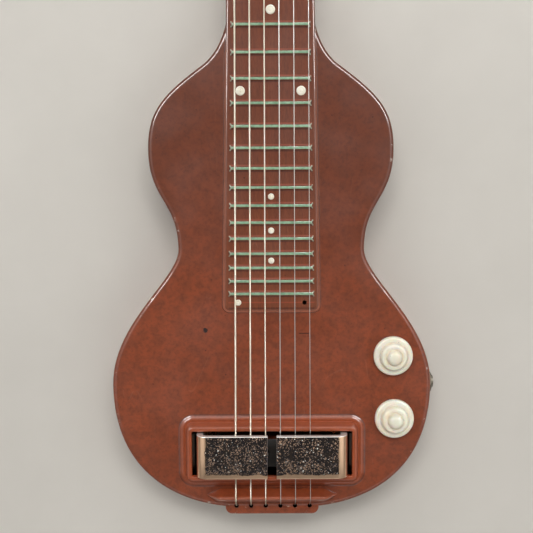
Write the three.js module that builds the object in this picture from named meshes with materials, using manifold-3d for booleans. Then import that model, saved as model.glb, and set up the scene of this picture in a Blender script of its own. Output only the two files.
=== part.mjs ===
import * as THREE from 'three';
import { mergeVertices } from 'three/addons/utils/BufferGeometryUtils.js';
import Module from 'manifold-3d';

const wasm = await Module();
wasm.setup();

// A six-string lap steel guitar whose hollow body, neck and head are one pressing of sheet steel.
// Lengths are millimetres. X runs from the bass side to the treble side, Y from the tail to the head with
// 0 where the string scale ends, and Z up from the bench that the flat back rests on.

// Sizes of the whole instrument
const scaleLength = 571.5;
const bodyDepth = 35;
const sheet = 1.2;
const seatGap = 0.3;
const overrun = 3;
const rootSink = 0.5;

// Body outline: half widths and the places along the scale where they lie
const tailY = -6.4;
const tailFlatHalf = 20;
const lowerBoutHalf = 114.8;
const lowerBoutY = 85;
const waistHalf = 66.3;
const waistY = 183;
const upperBoutHalf = 86.9;
const upperBoutY = 253.4;
const shoulderHalf = 47.8;
const shoulderY = 312.8;
const neckRootY = 347;
const neckLap = 14;
const rimRadius = 3.2;
const lipWidth = 7;

// Neck and fretboard: one raised tongue that starts on the body and ends past the nut
const tonguePastLastFret = 13.1;
const tongueEndHalf = 34.4;
const tongueCornerRadius = 5;
const neckNutHalf = 27.4;
const neckPastNut = 8.5;
const neckRimRadius = 2;
const plateauRise = 1.2;

// Pressed fret ridges
const fretCount = 23;
const fretHeight = 1.3;
const fretBaseWidth = 4.6;
const fretCrestWidth = 1.4;
const fretHipRun = 2.6;
const fretNutHalf = 25;
const fretEndHalf = 31;
const fretSink = 0.6;

// Position dots: studs with a domed head over a small hole
const dotHeadRadius = 3.3;
const smallDotHeadRadius = 2.2;
const dotStemRadius = 1.35;
const dotHoleRadius = 1.6;
const dotHeadHeight = 0.9;
const dotStemLength = 2.2;
const octavePairX = 21.3;
const lastPairX = 23.7;
const lastPairPastFret = 6.4;

// Collar round the pickup opening
const pickupY = 36.8;
const openingHalfX = 57.4;
const openingHalfY = 16.4;
const openingCornerRadius = 0.8;
const collarReach = 10.6;
const collarHeight = 10;
const collarLap = 0.8;

// Bridge ridge and tail tab
const crestY = 4.8;
const ridgeFrontRun = 3.5;
const ridgeBackRun = 7;
const ridgeHeight = 11.6;
const ridgeFullHalf = 36.8;
const ridgeTipHalf = 47.2;
const ridgeTipBack = 0.8;
const tabHalf = 33.9;
const tabEndY = -10.6;
const tabCornerRadius = 5;
const tabStep = 0.25;
const anchorHoleY = -4.8;
const anchorHoleRadius = 1.6;
const recessHalf = 31.6;
const recessBackY = 1;
const recessFloorZ = 14;

// Head: a shallow tray that continues the sheet below the level of the fretboard
const headDrop = 5;
const headFlangeDepth = 14;
const headRimRadius = 2.5;
const headLap = 4;
const headFlareHalf = 39;
const headFlareLength = 26;
const headTipHalf = 34;
const headCornerLength = 15.5;
const headTipFlatHalf = 14;
const headLength = 163.5;

// Strings, bass to treble
const stringDiameters = [1.25, 1.05, 0.9, 0.66, 0.54, 0.46];
const stringShift = 0.7;
const bridgeSpread = 53.4;
const nutSpread = 48.6;
const nutStringRise = 11.7;
const ballRadius = 2;
const ballHeight = 3.5;
const windingTurns = 2.25;
const windingGap = 0.5;
const windingTopRise = 10;
const bridgeBend = 1.6;
const bridgeBendDrop = 0.45;

// Nut
const nutHalf = 26.4;
const nutFootHalf = 3;
const nutCrestHalf = 1.2;
const nutFootHeight = 2.5;
const nutTopAboveString = 0.4;

// Horseshoe magnets and what they hold
const magnetReach = 53.7;
const magnetGap = 6.2;
const magnetThickness = 4.8;
const magnetWidth = 30.6;
const magnetTopRise = 19.6;
const magnetHeight = 42;
const magnetBendRadius = 7.7;
const combLength = 76;
const combWidth = 8;
const combThickness = 3;
const poleRadius = 2.4;
const poleTopRise = 9;
const bobbinLength = 88;
const bobbinWidth = 20;
const bobbinTopRise = 7;
const bobbinFlange = 1.6;
const coreLength = 70;
const coreWidth = 7;
const windingDepth = 6;
const cradleThickness = 1.5;
const cradleWidth = 24;
const cradleClearance = 2.5;
const cradleFootHalf = 81;

// Knobs and potentiometers
const volumeInset = 27.8;
const volumeAhead = 21.4;
const toneInset = 26.6;
const toneBehind = 24.3;
const knobRadius = 14;
const knobHeight = 14.5;
const knobFloat = 1;
const knobHollowRadius = 8;
const knobHollowDepth = 5;
const knobBoreDepth = 11;
const shaftRadius = 3;
const shaftClearance = 0.15;
const potRadius = 12;
const potDepth = 10;
const potBushingRadius = 4.6;
const potBushingRise = 3.5;
const potHoleClearance = 0.3;
const potFloor = 2;

// Tone capacitor and leads
const capacitorInset = 9;
const capacitorRadius = 3.2;
const capacitorHalfLength = 8;
const capacitorDrop = 6;
const leadRadius = 0.9;
const thinLeadRadius = 0.45;
const leadStub = 3;
const leadSag = 3;
const leadSteps = 8;

// Jack socket in the treble side wall
const jackBehind = 1.6;
const jackZ = 17;
const jackSleeveRadius = 4.7;
const jackHoleRadius = 5;
const jackSleeveProud = 4;
const jackWallSag = 0.8;
const jackFlangeRadius = 8;
const jackFlangeThickness = 2;
const jackBodyRadius = 6.5;
const jackBodyLength = 22;
const jackBoreRadius = 3.3;
const jackBoreDepth = 26;

// Tuners: three on a plate under each side of the head
const tunersPerSide = 3;
const firstPostPastNut = 42;
const postPitch = 38;
const postX = 25;
const postRadius = 3;
const postWaistRadius = 2.6;
const postHeadRadius = 3.2;
const postWaistLow = 5;
const postWaistHigh = 12;
const postRise = 14;
const postEyeRise = 8;
const postEyeRadius = 0.8;
const postJournalRadius = 2;
const postTail = 1;
const postHoleRadius = 3.6;
const plateThickness = 1.3;
const plateInner = 8;
const plateOuter = 7.4;
const plateEndMargin = 8;
const plateCornerRadius = 3;
const runningClearance = 0.08;
const gearTeeth = 12;
const gearThickness = 4;
const gearBoreGap = 0.12;
const toothPitch = 2.9;
const wormPitchRadius = 3.1;
const toothAddendum = 0.7;
const toothDedendum = 0.9;
const wormTurns = 3;
const wormLeadIn = 0.3;
const wormPlateClearance = 0.4;
const meshClearance = 0.1;
const journalRadius = 1.5;
const bracketThickness = 1.3;
const bracketHalfWidth = 3.4;
const bracketClearance = 0.25;
const journalProud = 0.6;
const buttonStart = 17.5;
const buttonLength = 12.5;
const buttonHalfWidth = 8;
const buttonThickness = 6;
const buttonBevel = 1.3;
const buttonGrip = 5;
const notchHalfWidth = 3.6;

// Shapes that follow those sizes, as shares of them
const bodyBowShares = [
  { leave: [0.455, 0], meet: [0, 0.767], steps: 12 },
  { leave: [0, 0.458], meet: [0, 0.216], steps: 9 },
  { leave: [0, 0.487], meet: [0, 0.498], steps: 7 },
  { leave: [0, 0.471], meet: [0.723, 0.349], steps: 8 },
  { leave: [0.727, 0.27], meet: [0, 0.197], steps: 5 },
];
const headFlareShares = { leave: [0, 0.45], meet: [0, 0.5], steps: 4 };
const headCornerShares = { leave: [0.02, 0.7], meet: [0.6, 0], steps: 4 };
const collarTopShares = [
  [1, -0.03], [0.86, 0.07], [0.74, 0.16], [0.6, 0.18], [0.5, 0.15], [0.46, 0.2],
  [0.34, 0.88], [0.27, 0.98], [0.2, 1], [0.06, 1], [0, 0.94],
];
const collarUnderShares = [
  [0, 0.62], [0.115, 0.62], [0.115, 0.86], [0.23, 0.86], [0.345, 0.14], [0.5, 0.02],
  [0.68, 0.06], [1, -0.09],
];
const ridgeFrontShares = [[1, 0], [0.45, 0.72], [0.2, 0.95], [0, 1]];
const ridgeBackShares = [[0.14, 0.96], [0.42, 0.66], [1, 0]];
const ridgeEndShares = [[0, 1], [0.42, 0.68], [0.75, 0.32], [1, 0.03]];
const knobTopShares = [
  [1, 0.22], [0.95, 0.28], [0.76, 0.3], [0.72, 0.34], [0.69, 0.52], [0.64, 0.6],
  [0.44, 0.64], [0.38, 0.67], [0.34, 0.86], [0.26, 0.96], [0.12, 1],
];
const dotEdgeShare = 0.55;
const dotCrownShare = 0.62;
const toothTipShare = 0.1;
const toothRootShare = 0.25;
const threadFlankShare = 0.16;
const threadTipShare = 0.18;
const threadRunInShare = 0.4;

// Levels and places worked out from the sizes
const lastFretY = scaleLength * 2 ** (-fretCount / 12);
const tongueEndY = lastFretY - tonguePastLastFret;
const lastPairY = lastFretY - lastPairPastFret;
const volumeX = lowerBoutHalf - volumeInset;
const volumeY = lowerBoutY + volumeAhead;
const toneX = lowerBoutHalf - toneInset;
const toneY = lowerBoutY - toneBehind;
const capacitorX = volumeX - capacitorInset;
const jackY = lowerBoutY - jackBehind;
const plateauTopZ = bodyDepth + plateauRise;
const neckEndY = scaleLength + neckPastNut;
const headFaceZ = bodyDepth - headDrop;
const headBottomZ = headFaceZ - headFlangeDepth;
const headTipY = neckEndY + headLength;
const tabTopZ = bodyDepth - tabStep;
const tabUnderZ = tabTopZ - sheet;
const nutStringZ = plateauTopZ + nutStringRise;
const magnetTopZ = bodyDepth + magnetTopRise;
const magnetBottomZ = magnetTopZ - magnetHeight;
const combBottomZ = magnetBottomZ + magnetThickness;
const bobbinBottomZ = combBottomZ + combThickness;
const potTopZ = bodyDepth - sheet;
const potBottomZ = potTopZ - potDepth;
const knobBaseZ = bodyDepth + knobFloat;
const plateUnderZ = headFaceZ - sheet - plateThickness;
const wormTipRadius = wormPitchRadius + toothAddendum;
const wormRootRadius = wormPitchRadius - toothDedendum;
const wormZ = plateUnderZ - wormPlateClearance - wormTipRadius;
const gearPitchRadius = (gearTeeth * toothPitch) / (2 * Math.PI);
const wormOffsetY = gearPitchRadius + wormPitchRadius + meshClearance;
const wormStart = -toothPitch * (2 - 0.5 + threadFlankShare + threadTipShare / 2);
const wormEnd = wormStart + toothPitch * (wormTurns + 1);
const innerBracket = wormStart - wormLeadIn - bracketClearance;
const outerBracket = wormEnd + wormLeadIn + bracketClearance;

// Finishes
const finishes = {
  enamel: { color: 0x8a462e, roughness: 0.3, metalness: 0.1 },
  steel: { color: 0x9a9a98, roughness: 0.45, metalness: 0.9 },
  nickel: { color: 0xb9b7b0, roughness: 0.3, metalness: 1 },
  chrome: { color: 0xc8c8c8, roughness: 0.12, metalness: 1 },
  brass: { color: 0xb08d4a, roughness: 0.35, metalness: 1 },
  cream: { color: 0xe9e2cc, roughness: 0.35, metalness: 0 },
  black: { color: 0x161413, roughness: 0.7, metalness: 0 },
  copper: { color: 0x7a3a22, roughness: 0.5, metalness: 0.4 },
  cloth: { color: 0x2a2622, roughness: 0.9, metalness: 0 },
  wax: { color: 0xb08a55, roughness: 0.7, metalness: 0 },
};

const guitar = new THREE.Group();
guitar.position.y = -(tabEndY + headTipY) / 2;

// Adds a named piece with its own material to a group, the instrument itself unless another is given
function addPiece(name, geometry, finish, parent = guitar) {
  const mesh = new THREE.Mesh(geometry, new THREE.MeshStandardMaterial(finishes[finish]));
  mesh.name = name;
  parent.add(mesh);
  return mesh;
}

// A solid for joining and cutting, from a closed geometry
function solidOf(geometry) {
  const bare = geometry.clone();
  bare.deleteAttribute('normal');
  bare.deleteAttribute('uv');
  const merged = mergeVertices(bare);
  return new wasm.Manifold(new wasm.Mesh({
    numProp: 3,
    vertProperties: new Float32Array(merged.attributes.position.array),
    triVerts: new Uint32Array(merged.index.array),
  }));
}

// The geometry of a finished solid
function geometryOf(solid) {
  const { vertProperties, triVerts } = solid.getMesh();
  const geometry = new THREE.BufferGeometry();
  geometry.setAttribute('position', new THREE.BufferAttribute(new Float32Array(vertProperties), 3));
  geometry.setIndex(new THREE.BufferAttribute(new Uint32Array(triVerts), 1));
  geometry.computeVertexNormals();
  return geometry;
}

// A geometry from loose corners, three to a face
function geometryFromCorners(corners) {
  const geometry = new THREE.BufferGeometry();
  geometry.setAttribute('position', new THREE.Float32BufferAttribute(corners.flatMap((p) => [p.x, p.y, p.z]), 3));
  const merged = mergeVertices(geometry);
  merged.computeVertexNormals();
  return merged;
}

// The mirror image of a geometry across the plane x = 0, with its faces turned back outwards
function mirroredInX(geometry) {
  const image = mergeVertices(geometry.clone().deleteAttribute('normal').deleteAttribute('uv'));
  image.scale(-1, 1, 1);
  const index = image.index.array;
  for (let i = 0; i < index.length; i += 3) {
    [index[i + 1], index[i + 2]] = [index[i + 2], index[i + 1]];
  }
  image.computeVertexNormals();
  return image;
}

// A bow between two points. Its handles are shares of the step from one to the other.
function bow(from, to, { leave, meet, steps }) {
  const step = to.clone().sub(from);
  const first = new THREE.Vector2(from.x + leave[0] * step.x, from.y + leave[1] * step.y);
  const second = new THREE.Vector2(to.x - meet[0] * step.x, to.y - meet[1] * step.y);
  return new THREE.CubicBezierCurve(from, first, second, to).getPoints(steps);
}

// An outline from its treble half, listed from tail to head
function bothSides(side) {
  const other = side.map((p) => new THREE.Vector2(-p.x, p.y)).reverse();
  return [...side, ...other];
}

// An outline moved inwards by a distance, or outwards by a negative one
function inset(outline, distance) {
  const count = outline.length;
  return outline.map((point, i) => {
    const before = point.clone().sub(outline[(i + count - 1) % count]).normalize();
    const after = outline[(i + 1) % count].clone().sub(point).normalize();
    const inward = new THREE.Vector2(-before.y - after.y, before.x + after.x).normalize();
    const stretch = Math.max(inward.x * -after.y + inward.y * after.x, Math.SQRT1_2);
    return point.clone().addScaledVector(inward, distance / stretch);
  });
}

// A closed body through a stack of outlines with equal counts of points. A ring-shaped one closes on itself.
function stacked(levels, ringShaped = false) {
  const count = levels[0].outline.length;
  const faces = [];
  const spans = ringShaped ? levels.length : levels.length - 1;
  for (let level = 0; level < spans; level++) {
    const low = level * count;
    const high = ((level + 1) % levels.length) * count;
    for (let i = 0; i < count; i++) {
      const next = (i + 1) % count;
      faces.push(low + i, low + next, high + next, low + i, high + next, high + i);
    }
  }
  if (!ringShaped) {
    const top = (levels.length - 1) * count;
    for (const [a, b, c] of THREE.ShapeUtils.triangulateShape(levels[0].outline, [])) faces.push(a, c, b);
    for (const [a, b, c] of THREE.ShapeUtils.triangulateShape(levels.at(-1).outline, [])) {
      faces.push(top + a, top + b, top + c);
    }
  }
  const geometry = new THREE.BufferGeometry();
  const vertices = levels.flatMap(({ outline, z }) => outline.flatMap((p) => [p.x, p.y, z]));
  geometry.setAttribute('position', new THREE.Float32BufferAttribute(vertices, 3));
  geometry.setIndex(faces);
  return geometry;
}

// A block with upright sides and a rounded upper edge, its sides moved in from the outline by a wall
function roundedBlock(outline, bottom, top, radius, wall = 0, steps = 3) {
  const levels = [{ outline: inset(outline, wall), z: bottom }];
  for (let step = 0; step <= steps; step++) {
    const angle = (step / steps) * (Math.PI / 2);
    const reach = wall + radius * (1 - Math.cos(angle));
    levels.push({ outline: inset(outline, reach), z: top - radius + radius * Math.sin(angle) });
  }
  return solidOf(stacked(levels));
}

// A block with upright sides and sharp edges
function plainBlock(outline, bottom, top, wall = 0) {
  const sides = inset(outline, wall);
  return solidOf(stacked([{ outline: sides, z: bottom }, { outline: sides, z: top }]));
}

// The corners of a rectangle with rounded corners about a centre, anticlockwise
function roundedRectangle(centre, halfX, halfY, radius, steps) {
  const corners = [[1, -1], [1, 1], [-1, 1], [-1, -1]];
  return corners.flatMap(([sideX, sideY], quarter) => {
    const points = [];
    for (let step = 0; step <= steps; step++) {
      const angle = ((quarter - 1 + step / steps) * Math.PI) / 2;
      points.push(new THREE.Vector2(
        centre.x + sideX * (halfX - radius) + radius * Math.cos(angle),
        centre.y + sideY * (halfY - radius) + radius * Math.sin(angle),
      ));
    }
    return points;
  });
}

// An upright round bar as a cutter or a pin
function uprightBar(x, y, radius, bottom, top, sides) {
  const bar = new THREE.CylinderGeometry(radius, radius, top - bottom, sides);
  bar.rotateX(Math.PI / 2);
  bar.translate(x, y, (bottom + top) / 2);
  return solidOf(bar);
}

// A box between two corners
function boxBetween(low, high) {
  const box = new THREE.BoxGeometry(high[0] - low[0], high[1] - low[1], high[2] - low[2]);
  box.translate((low[0] + high[0]) / 2, (low[1] + high[1]) / 2, (low[2] + high[2]) / 2);
  return solidOf(box);
}

// A turned piece about Z, from a profile of radius and height that starts and ends on the axis
function turned(profile, sides) {
  const lathe = new THREE.LatheGeometry(profile.map(([radius, z]) => new THREE.Vector2(radius, z)), sides);
  lathe.rotateX(Math.PI / 2);
  return lathe;
}

// The radius that a faceted hole needs so that its flats clear a round of the given radius
function clearRadius(radius, clearance, sides) {
  return (radius + clearance) / Math.cos(Math.PI / sides);
}

// A route that a tube follows exactly through its points
class Route extends THREE.Curve {
  constructor(points) {
    super();
    this.points = points;
  }

  getPoint(t, target = new THREE.Vector3()) {
    const place = t * (this.points.length - 1);
    const before = Math.min(Math.floor(place), this.points.length - 2);
    return target.lerpVectors(this.points[before], this.points[before + 1], place - before);
  }

  getPointAt(u, target) {
    return this.getPoint(u, target);
  }

  getTangent(t, target = new THREE.Vector3()) {
    const index = Math.round(t * (this.points.length - 1));
    const here = this.points[index];
    const before = this.points[Math.max(index - 1, 0)];
    const after = this.points[Math.min(index + 1, this.points.length - 1)];
    const arriving = here.clone().sub(before).normalize();
    const leaving = after.clone().sub(here).normalize();
    return target.copy(arriving).add(leaving).normalize();
  }

  getTangentAt(u, target) {
    return this.getTangent(u, target);
  }

  getSpacedPoints() {
    return this.points;
  }
}

// A round wire or lead along a route
function tubeAlong(points, radius, sides) {
  const section = new THREE.Shape();
  for (let side = 0; side < sides; side++) {
    const angle = (side / sides) * Math.PI * 2;
    const place = [radius * Math.cos(angle), radius * Math.sin(angle)];
    if (side === 0) section.moveTo(...place);
    else section.lineTo(...place);
  }
  return new THREE.ExtrudeGeometry(section, {
    steps: points.length - 1,
    extrudePath: new Route(points),
    bevelEnabled: false,
  });
}

// How far a fret lies from the bridge end of the scale
function fretY(fret) {
  return scaleLength * 2 ** (-fret / 12);
}

// Half the width of neck and fretboard at a place along the scale
function neckHalfAt(y) {
  const along = (y - tongueEndY) / (scaleLength - tongueEndY);
  return tongueEndHalf + (neckNutHalf - tongueEndHalf) * along;
}

// Half the length of a fret ridge at a place along the scale
function fretHalfAt(y) {
  const along = (y - tongueEndY) / (scaleLength - tongueEndY);
  return fretEndHalf + (fretNutHalf - fretEndHalf) * along;
}

// Where a string lies across the instrument at a place along it
function stringX(string, y) {
  const along = (y - crestY) / (scaleLength - crestY);
  const spread = bridgeSpread + (nutSpread - bridgeSpread) * along;
  return stringShift + spread * (string / (stringDiameters.length - 1) - 0.5);
}

// The outline of the body, with its shoulders running into the neck and on inside it
function bodyOutline() {
  const stations = [
    [tailFlatHalf, tailY],
    [lowerBoutHalf, lowerBoutY],
    [waistHalf, waistY],
    [upperBoutHalf, upperBoutY],
    [shoulderHalf, shoulderY],
    [neckHalfAt(neckRootY) - rootSink, neckRootY],
  ].map(([x, y]) => new THREE.Vector2(x, y));
  const side = [stations[0]];
  bodyBowShares.forEach((shares, i) => side.push(...bow(stations[i], stations[i + 1], shares).slice(1)));
  const lapEndY = neckRootY + neckLap;
  side.push(new THREE.Vector2(neckHalfAt(lapEndY) - rootSink, lapEndY));
  return bothSides(side);
}

// The outline of the tongue that is fretboard and neck, with corners of a given radius where it starts
function neckOutline(cornerRadius = tongueCornerRadius) {
  const side = [];
  const cornerSteps = 4;
  for (let step = 0; step <= cornerSteps; step++) {
    const angle = (step / cornerSteps - 1) * (Math.PI / 2);
    side.push(new THREE.Vector2(
      tongueEndHalf - cornerRadius + cornerRadius * Math.cos(angle),
      tongueEndY + cornerRadius + cornerRadius * Math.sin(angle),
    ));
  }
  side.push(new THREE.Vector2(neckHalfAt(neckEndY), neckEndY));
  return bothSides(side);
}

// The outline of the head, which starts inside the end of the neck
function headOutline() {
  const rootHalf = neckHalfAt(neckEndY) - rootSink;
  const root = new THREE.Vector2(rootHalf, neckEndY);
  const flare = new THREE.Vector2(headFlareHalf, neckEndY + headFlareLength);
  const corner = new THREE.Vector2(headTipHalf, headTipY - headCornerLength);
  const tip = new THREE.Vector2(headTipFlatHalf, headTipY);
  return bothSides([
    new THREE.Vector2(rootHalf, neckEndY - headLap),
    ...bow(root, flare, headFlareShares),
    ...bow(corner, tip, headCornerShares),
  ]);
}

// One pressed fret ridge: a long low roof with hipped ends
function fretRidge(fret) {
  const y = fretY(fret);
  const half = fretHalfAt(y);
  const centre = new THREE.Vector2(0, y);
  const corners = [[1, -1], [1, 1], [-1, 1], [-1, -1]];
  const level = (halfX, halfY, z) => ({
    outline: corners.map(([x, side]) => new THREE.Vector2(centre.x + x * halfX, centre.y + side * halfY)),
    z,
  });
  return solidOf(stacked([
    level(half, fretBaseWidth / 2, plateauTopZ - fretSink),
    level(half, fretBaseWidth / 2, plateauTopZ),
    level(half - fretHipRun, fretCrestWidth / 2, plateauTopZ + fretHeight),
  ]));
}

// The stepped collar pressed up round the pickup opening, with its lip turned down inside
function collar() {
  const centre = new THREE.Vector2(0, pickupY);
  const level = ([reachShare, riseShare]) => {
    const reach = reachShare * collarReach;
    return {
      outline: roundedRectangle(centre, openingHalfX + reach, openingHalfY + reach, openingCornerRadius + reach, 3),
      z: bodyDepth + riseShare * collarHeight,
    };
  };
  return solidOf(stacked([...collarTopShares, ...collarUnderShares].map(level), true));
}

// The ridge that the strings pass over: steep in front, sloping behind, and running out at its ends
function bridgeRidge() {
  const ends = ridgeEndShares.map(([outShare, sizeShare]) => [
    ridgeFullHalf + (ridgeTipHalf - ridgeFullHalf) * outShare,
    sizeShare,
    outShare,
  ]);
  const stations = [...ends.map(([x, size, out]) => [-x, size, out]).reverse(), ...ends];
  const sections = stations.map(([x, size, out]) => {
    const middle = crestY - ridgeTipBack * out;
    const front = ridgeFrontShares.map(([run, rise]) => [middle + run * ridgeFrontRun * size, rise * size]);
    const back = ridgeBackShares.map(([run, rise]) => [middle - run * ridgeBackRun * size, rise * size]);
    const upper = [...front, ...back].map(([y, rise]) => [y, bodyDepth + rise * ridgeHeight]);
    const sunk = bodyDepth - fretSink;
    return [...upper, [back.at(-1)[0], sunk], [front[0][0], sunk]].map(([y, z]) => new THREE.Vector3(x, y, z));
  });
  const corners = [];
  for (let i = 0; i < sections.length - 1; i++) {
    const here = sections[i];
    const there = sections[i + 1];
    here.forEach((point, j) => {
      const k = (j + 1) % here.length;
      corners.push(point, here[k], there[k], point, there[k], there[j]);
    });
  }
  const first = sections[0];
  const last = sections.at(-1);
  for (let j = 1; j < first.length - 1; j++) {
    corners.push(first[0], first[j + 1], first[j], last[0], last[j], last[j + 1]);
  }
  const geometry = geometryFromCorners(corners);
  geometry.index.array.reverse();
  return solidOf(geometry);
}

// The tail tab, level with the top, that the strings hang in
function tailTab() {
  const inner = recessBackY + tabCornerRadius;
  const centre = new THREE.Vector2(0, (tabEndY + inner) / 2);
  const outline = roundedRectangle(centre, tabHalf, (inner - tabEndY) / 2, tabCornerRadius, 4);
  return plainBlock(outline, tabUnderZ, tabTopZ);
}

// Where each position dot lies: its name, its place and the radius of its head
function dotPlaces() {
  const between = (fret) => (fretY(fret - 1) + fretY(fret)) / 2;
  return [
    { name: 'dot_5', x: 0, y: between(5), radius: dotHeadRadius },
    { name: 'dot_7', x: 0, y: between(7), radius: dotHeadRadius },
    { name: 'dot_9', x: 0, y: between(9), radius: dotHeadRadius },
    { name: 'dot_12_bass', x: -octavePairX, y: between(12), radius: dotHeadRadius },
    { name: 'dot_12_treble', x: octavePairX, y: between(12), radius: dotHeadRadius },
    { name: 'dot_17', x: 0, y: between(17), radius: smallDotHeadRadius },
    { name: 'dot_19', x: 0, y: between(19), radius: smallDotHeadRadius },
    { name: 'dot_21', x: 0, y: between(21), radius: smallDotHeadRadius },
    { name: 'dot_24_bass', x: -lastPairX, y: lastPairY, radius: smallDotHeadRadius },
  ];
}

// Where each tuner stands: its string, the side it is on and the place of its post
function tunerPlaces() {
  const places = [];
  for (let place = 0; place < tunersPerSide; place++) {
    const y = scaleLength + firstPostPastNut + place * postPitch;
    places.push({ string: place, side: -1, x: -postX, y });
    places.push({ string: stringDiameters.length - 1 - place, side: 1, x: postX, y });
  }
  return places.sort((a, b) => a.string - b.string);
}

// The slot in the head's flange that a worm shaft passes through
function flangeNotch({ side, y }) {
  const middle = y + wormOffsetY;
  const slot = new THREE.Shape();
  slot.moveTo(-notchHalfWidth, headBottomZ - overrun);
  slot.lineTo(notchHalfWidth, headBottomZ - overrun);
  slot.absarc(0, wormZ, notchHalfWidth, 0, Math.PI, false);
  slot.closePath();
  const reach = headFlareHalf - headTipHalf + overrun + overrun;
  const cutter = new THREE.ExtrudeGeometry(slot, { depth: reach, bevelEnabled: false, curveSegments: 4 });
  cutter.rotateX(Math.PI / 2);
  cutter.rotateZ(Math.PI / 2);
  cutter.translate(side > 0 ? headTipHalf - overrun : -headFlareHalf - overrun, middle, 0);
  return solidOf(cutter);
}

// The shell: top, sides, neck and head as one sheet, open below with a narrow lip turned in
function bodyShell() {
  const body = bodyOutline();
  const neck = neckOutline();
  const head = headOutline();
  const neckBlock = roundedBlock(neck, 0, plateauTopZ, neckRimRadius, 0, 2);
  const lipTopZ = sheet + sheet;

  let outer = roundedBlock(body, 0, bodyDepth, rimRadius).add(neckBlock);
  outer = outer.add(roundedBlock(head, headBottomZ, headFaceZ, headRimRadius, 0, 2));
  outer = outer.add(tailTab()).add(bridgeRidge());
  for (let fret = 1; fret <= fretCount; fret++) outer = outer.add(fretRidge(fret));

  const recessWall = boxBetween(
    [-recessHalf - sheet, tabEndY - overrun, recessFloorZ - sheet],
    [recessHalf + sheet, recessBackY + sheet, bodyDepth],
  );
  const bodyRoom = roundedBlock(body, lipTopZ, bodyDepth - sheet, rimRadius - sheet, sheet, 2);
  const neckRoom = roundedBlock(neck, lipTopZ, plateauTopZ - sheet, neckRimRadius - sheet, sheet, 2);
  let room = bodyRoom.add(neckRoom).subtract(recessWall);
  for (const outline of [body, neckOutline(tongueCornerRadius + lipWidth)]) {
    room = room.add(plainBlock(outline, sheet - seatGap, lipTopZ + sheet, sheet + lipWidth));
  }
  for (const outline of [body, neck]) room = room.add(plainBlock(outline, -overrun, sheet, sheet));

  const headRoom = roundedBlock(head, headBottomZ - overrun, headFaceZ - sheet, headRimRadius - sheet, sheet, 2);
  let shell = outer.subtract(room).subtract(headRoom.subtract(neckBlock));
  shell = shell.subtract(boxBetween(
    [-recessHalf, tabEndY - overrun, recessFloorZ],
    [recessHalf, recessBackY, tabUnderZ],
  ));

  const middle = new THREE.Vector2(0, pickupY);
  const cutReach = collarReach - collarLap;
  const opening = roundedRectangle(
    middle, openingHalfX + cutReach, openingHalfY + cutReach, openingCornerRadius + cutReach, 3);
  shell = shell.subtract(plainBlock(opening, bodyDepth - sheet - sheet, bodyDepth + overrun)).add(collar());

  for (let string = 0; string < stringDiameters.length; string++) {
    const x = stringX(string, crestY);
    shell = shell.subtract(uprightBar(x, anchorHoleY, anchorHoleRadius, tabUnderZ - sheet, tabTopZ + overrun, 8));
  }
  const dotHoles = [...dotPlaces(), { x: lastPairX, y: lastPairY }];
  for (const { x, y } of dotHoles) {
    shell = shell.subtract(uprightBar(x, y, dotHoleRadius, bodyDepth - sheet, plateauTopZ + overrun, 8));
  }
  const potHole = potBushingRadius + potHoleClearance;
  for (const [x, y] of [[volumeX, volumeY], [toneX, toneY]]) {
    shell = shell.subtract(uprightBar(x, y, potHole, bodyDepth - sheet - sheet, bodyDepth + overrun, 16));
  }
  for (const place of tunerPlaces()) {
    const low = headFaceZ - sheet - sheet;
    shell = shell.subtract(uprightBar(place.x, place.y, postHoleRadius, low, headFaceZ + overrun, 12));
    shell = shell.subtract(flangeNotch(place));
  }
  const jackHole = new THREE.CylinderGeometry(jackHoleRadius, jackHoleRadius, overrun * 4, 16);
  jackHole.rotateZ(Math.PI / 2);
  jackHole.translate(lowerBoutHalf, jackY, jackZ);
  return geometryOf(shell.subtract(solidOf(jackHole)));
}

// The flat back, which lies inside the side walls against the lip
function backPlate() {
  const margin = sheet + seatGap;
  const plate = plainBlock(bodyOutline(), 0, sheet, margin).add(plainBlock(neckOutline(), 0, sheet, margin));
  return geometryOf(plate);
}

// The tall nut, with a slot for each string
function stringNut() {
  const section = new THREE.Shape([
    new THREE.Vector2(-nutFootHalf, plateauTopZ),
    new THREE.Vector2(nutFootHalf, plateauTopZ),
    new THREE.Vector2(nutFootHalf, plateauTopZ + nutFootHeight),
    new THREE.Vector2(nutCrestHalf, nutStringZ + nutTopAboveString),
    new THREE.Vector2(-nutCrestHalf, nutStringZ + nutTopAboveString),
    new THREE.Vector2(-nutFootHalf, plateauTopZ + nutFootHeight),
  ]);
  const bar = new THREE.ExtrudeGeometry(section, { depth: 2 * nutHalf, bevelEnabled: false });
  bar.rotateX(Math.PI / 2);
  bar.rotateZ(Math.PI / 2);
  bar.translate(-nutHalf, scaleLength, 0);
  let nut = solidOf(bar);
  stringDiameters.forEach((diameter, string) => {
    const radius = diameter / 2 + seatGap;
    const slot = new THREE.CylinderGeometry(radius, radius, nutFootHalf * 4, 8);
    slot.translate(stringX(string, scaleLength), scaleLength, nutStringZ);
    nut = nut.subtract(solidOf(slot));
  });
  return geometryOf(nut);
}

// A position stud: head on the fretboard, stem through its hole
function dotStud(radius) {
  return turned([
    [0, -dotStemLength],
    [dotStemRadius, -dotStemLength],
    [dotStemRadius, 0],
    [radius, 0],
    [radius, dotHeadHeight * dotEdgeShare],
    [radius * dotCrownShare, dotHeadHeight],
    [0, dotHeadHeight],
  ], 10);
}

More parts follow.
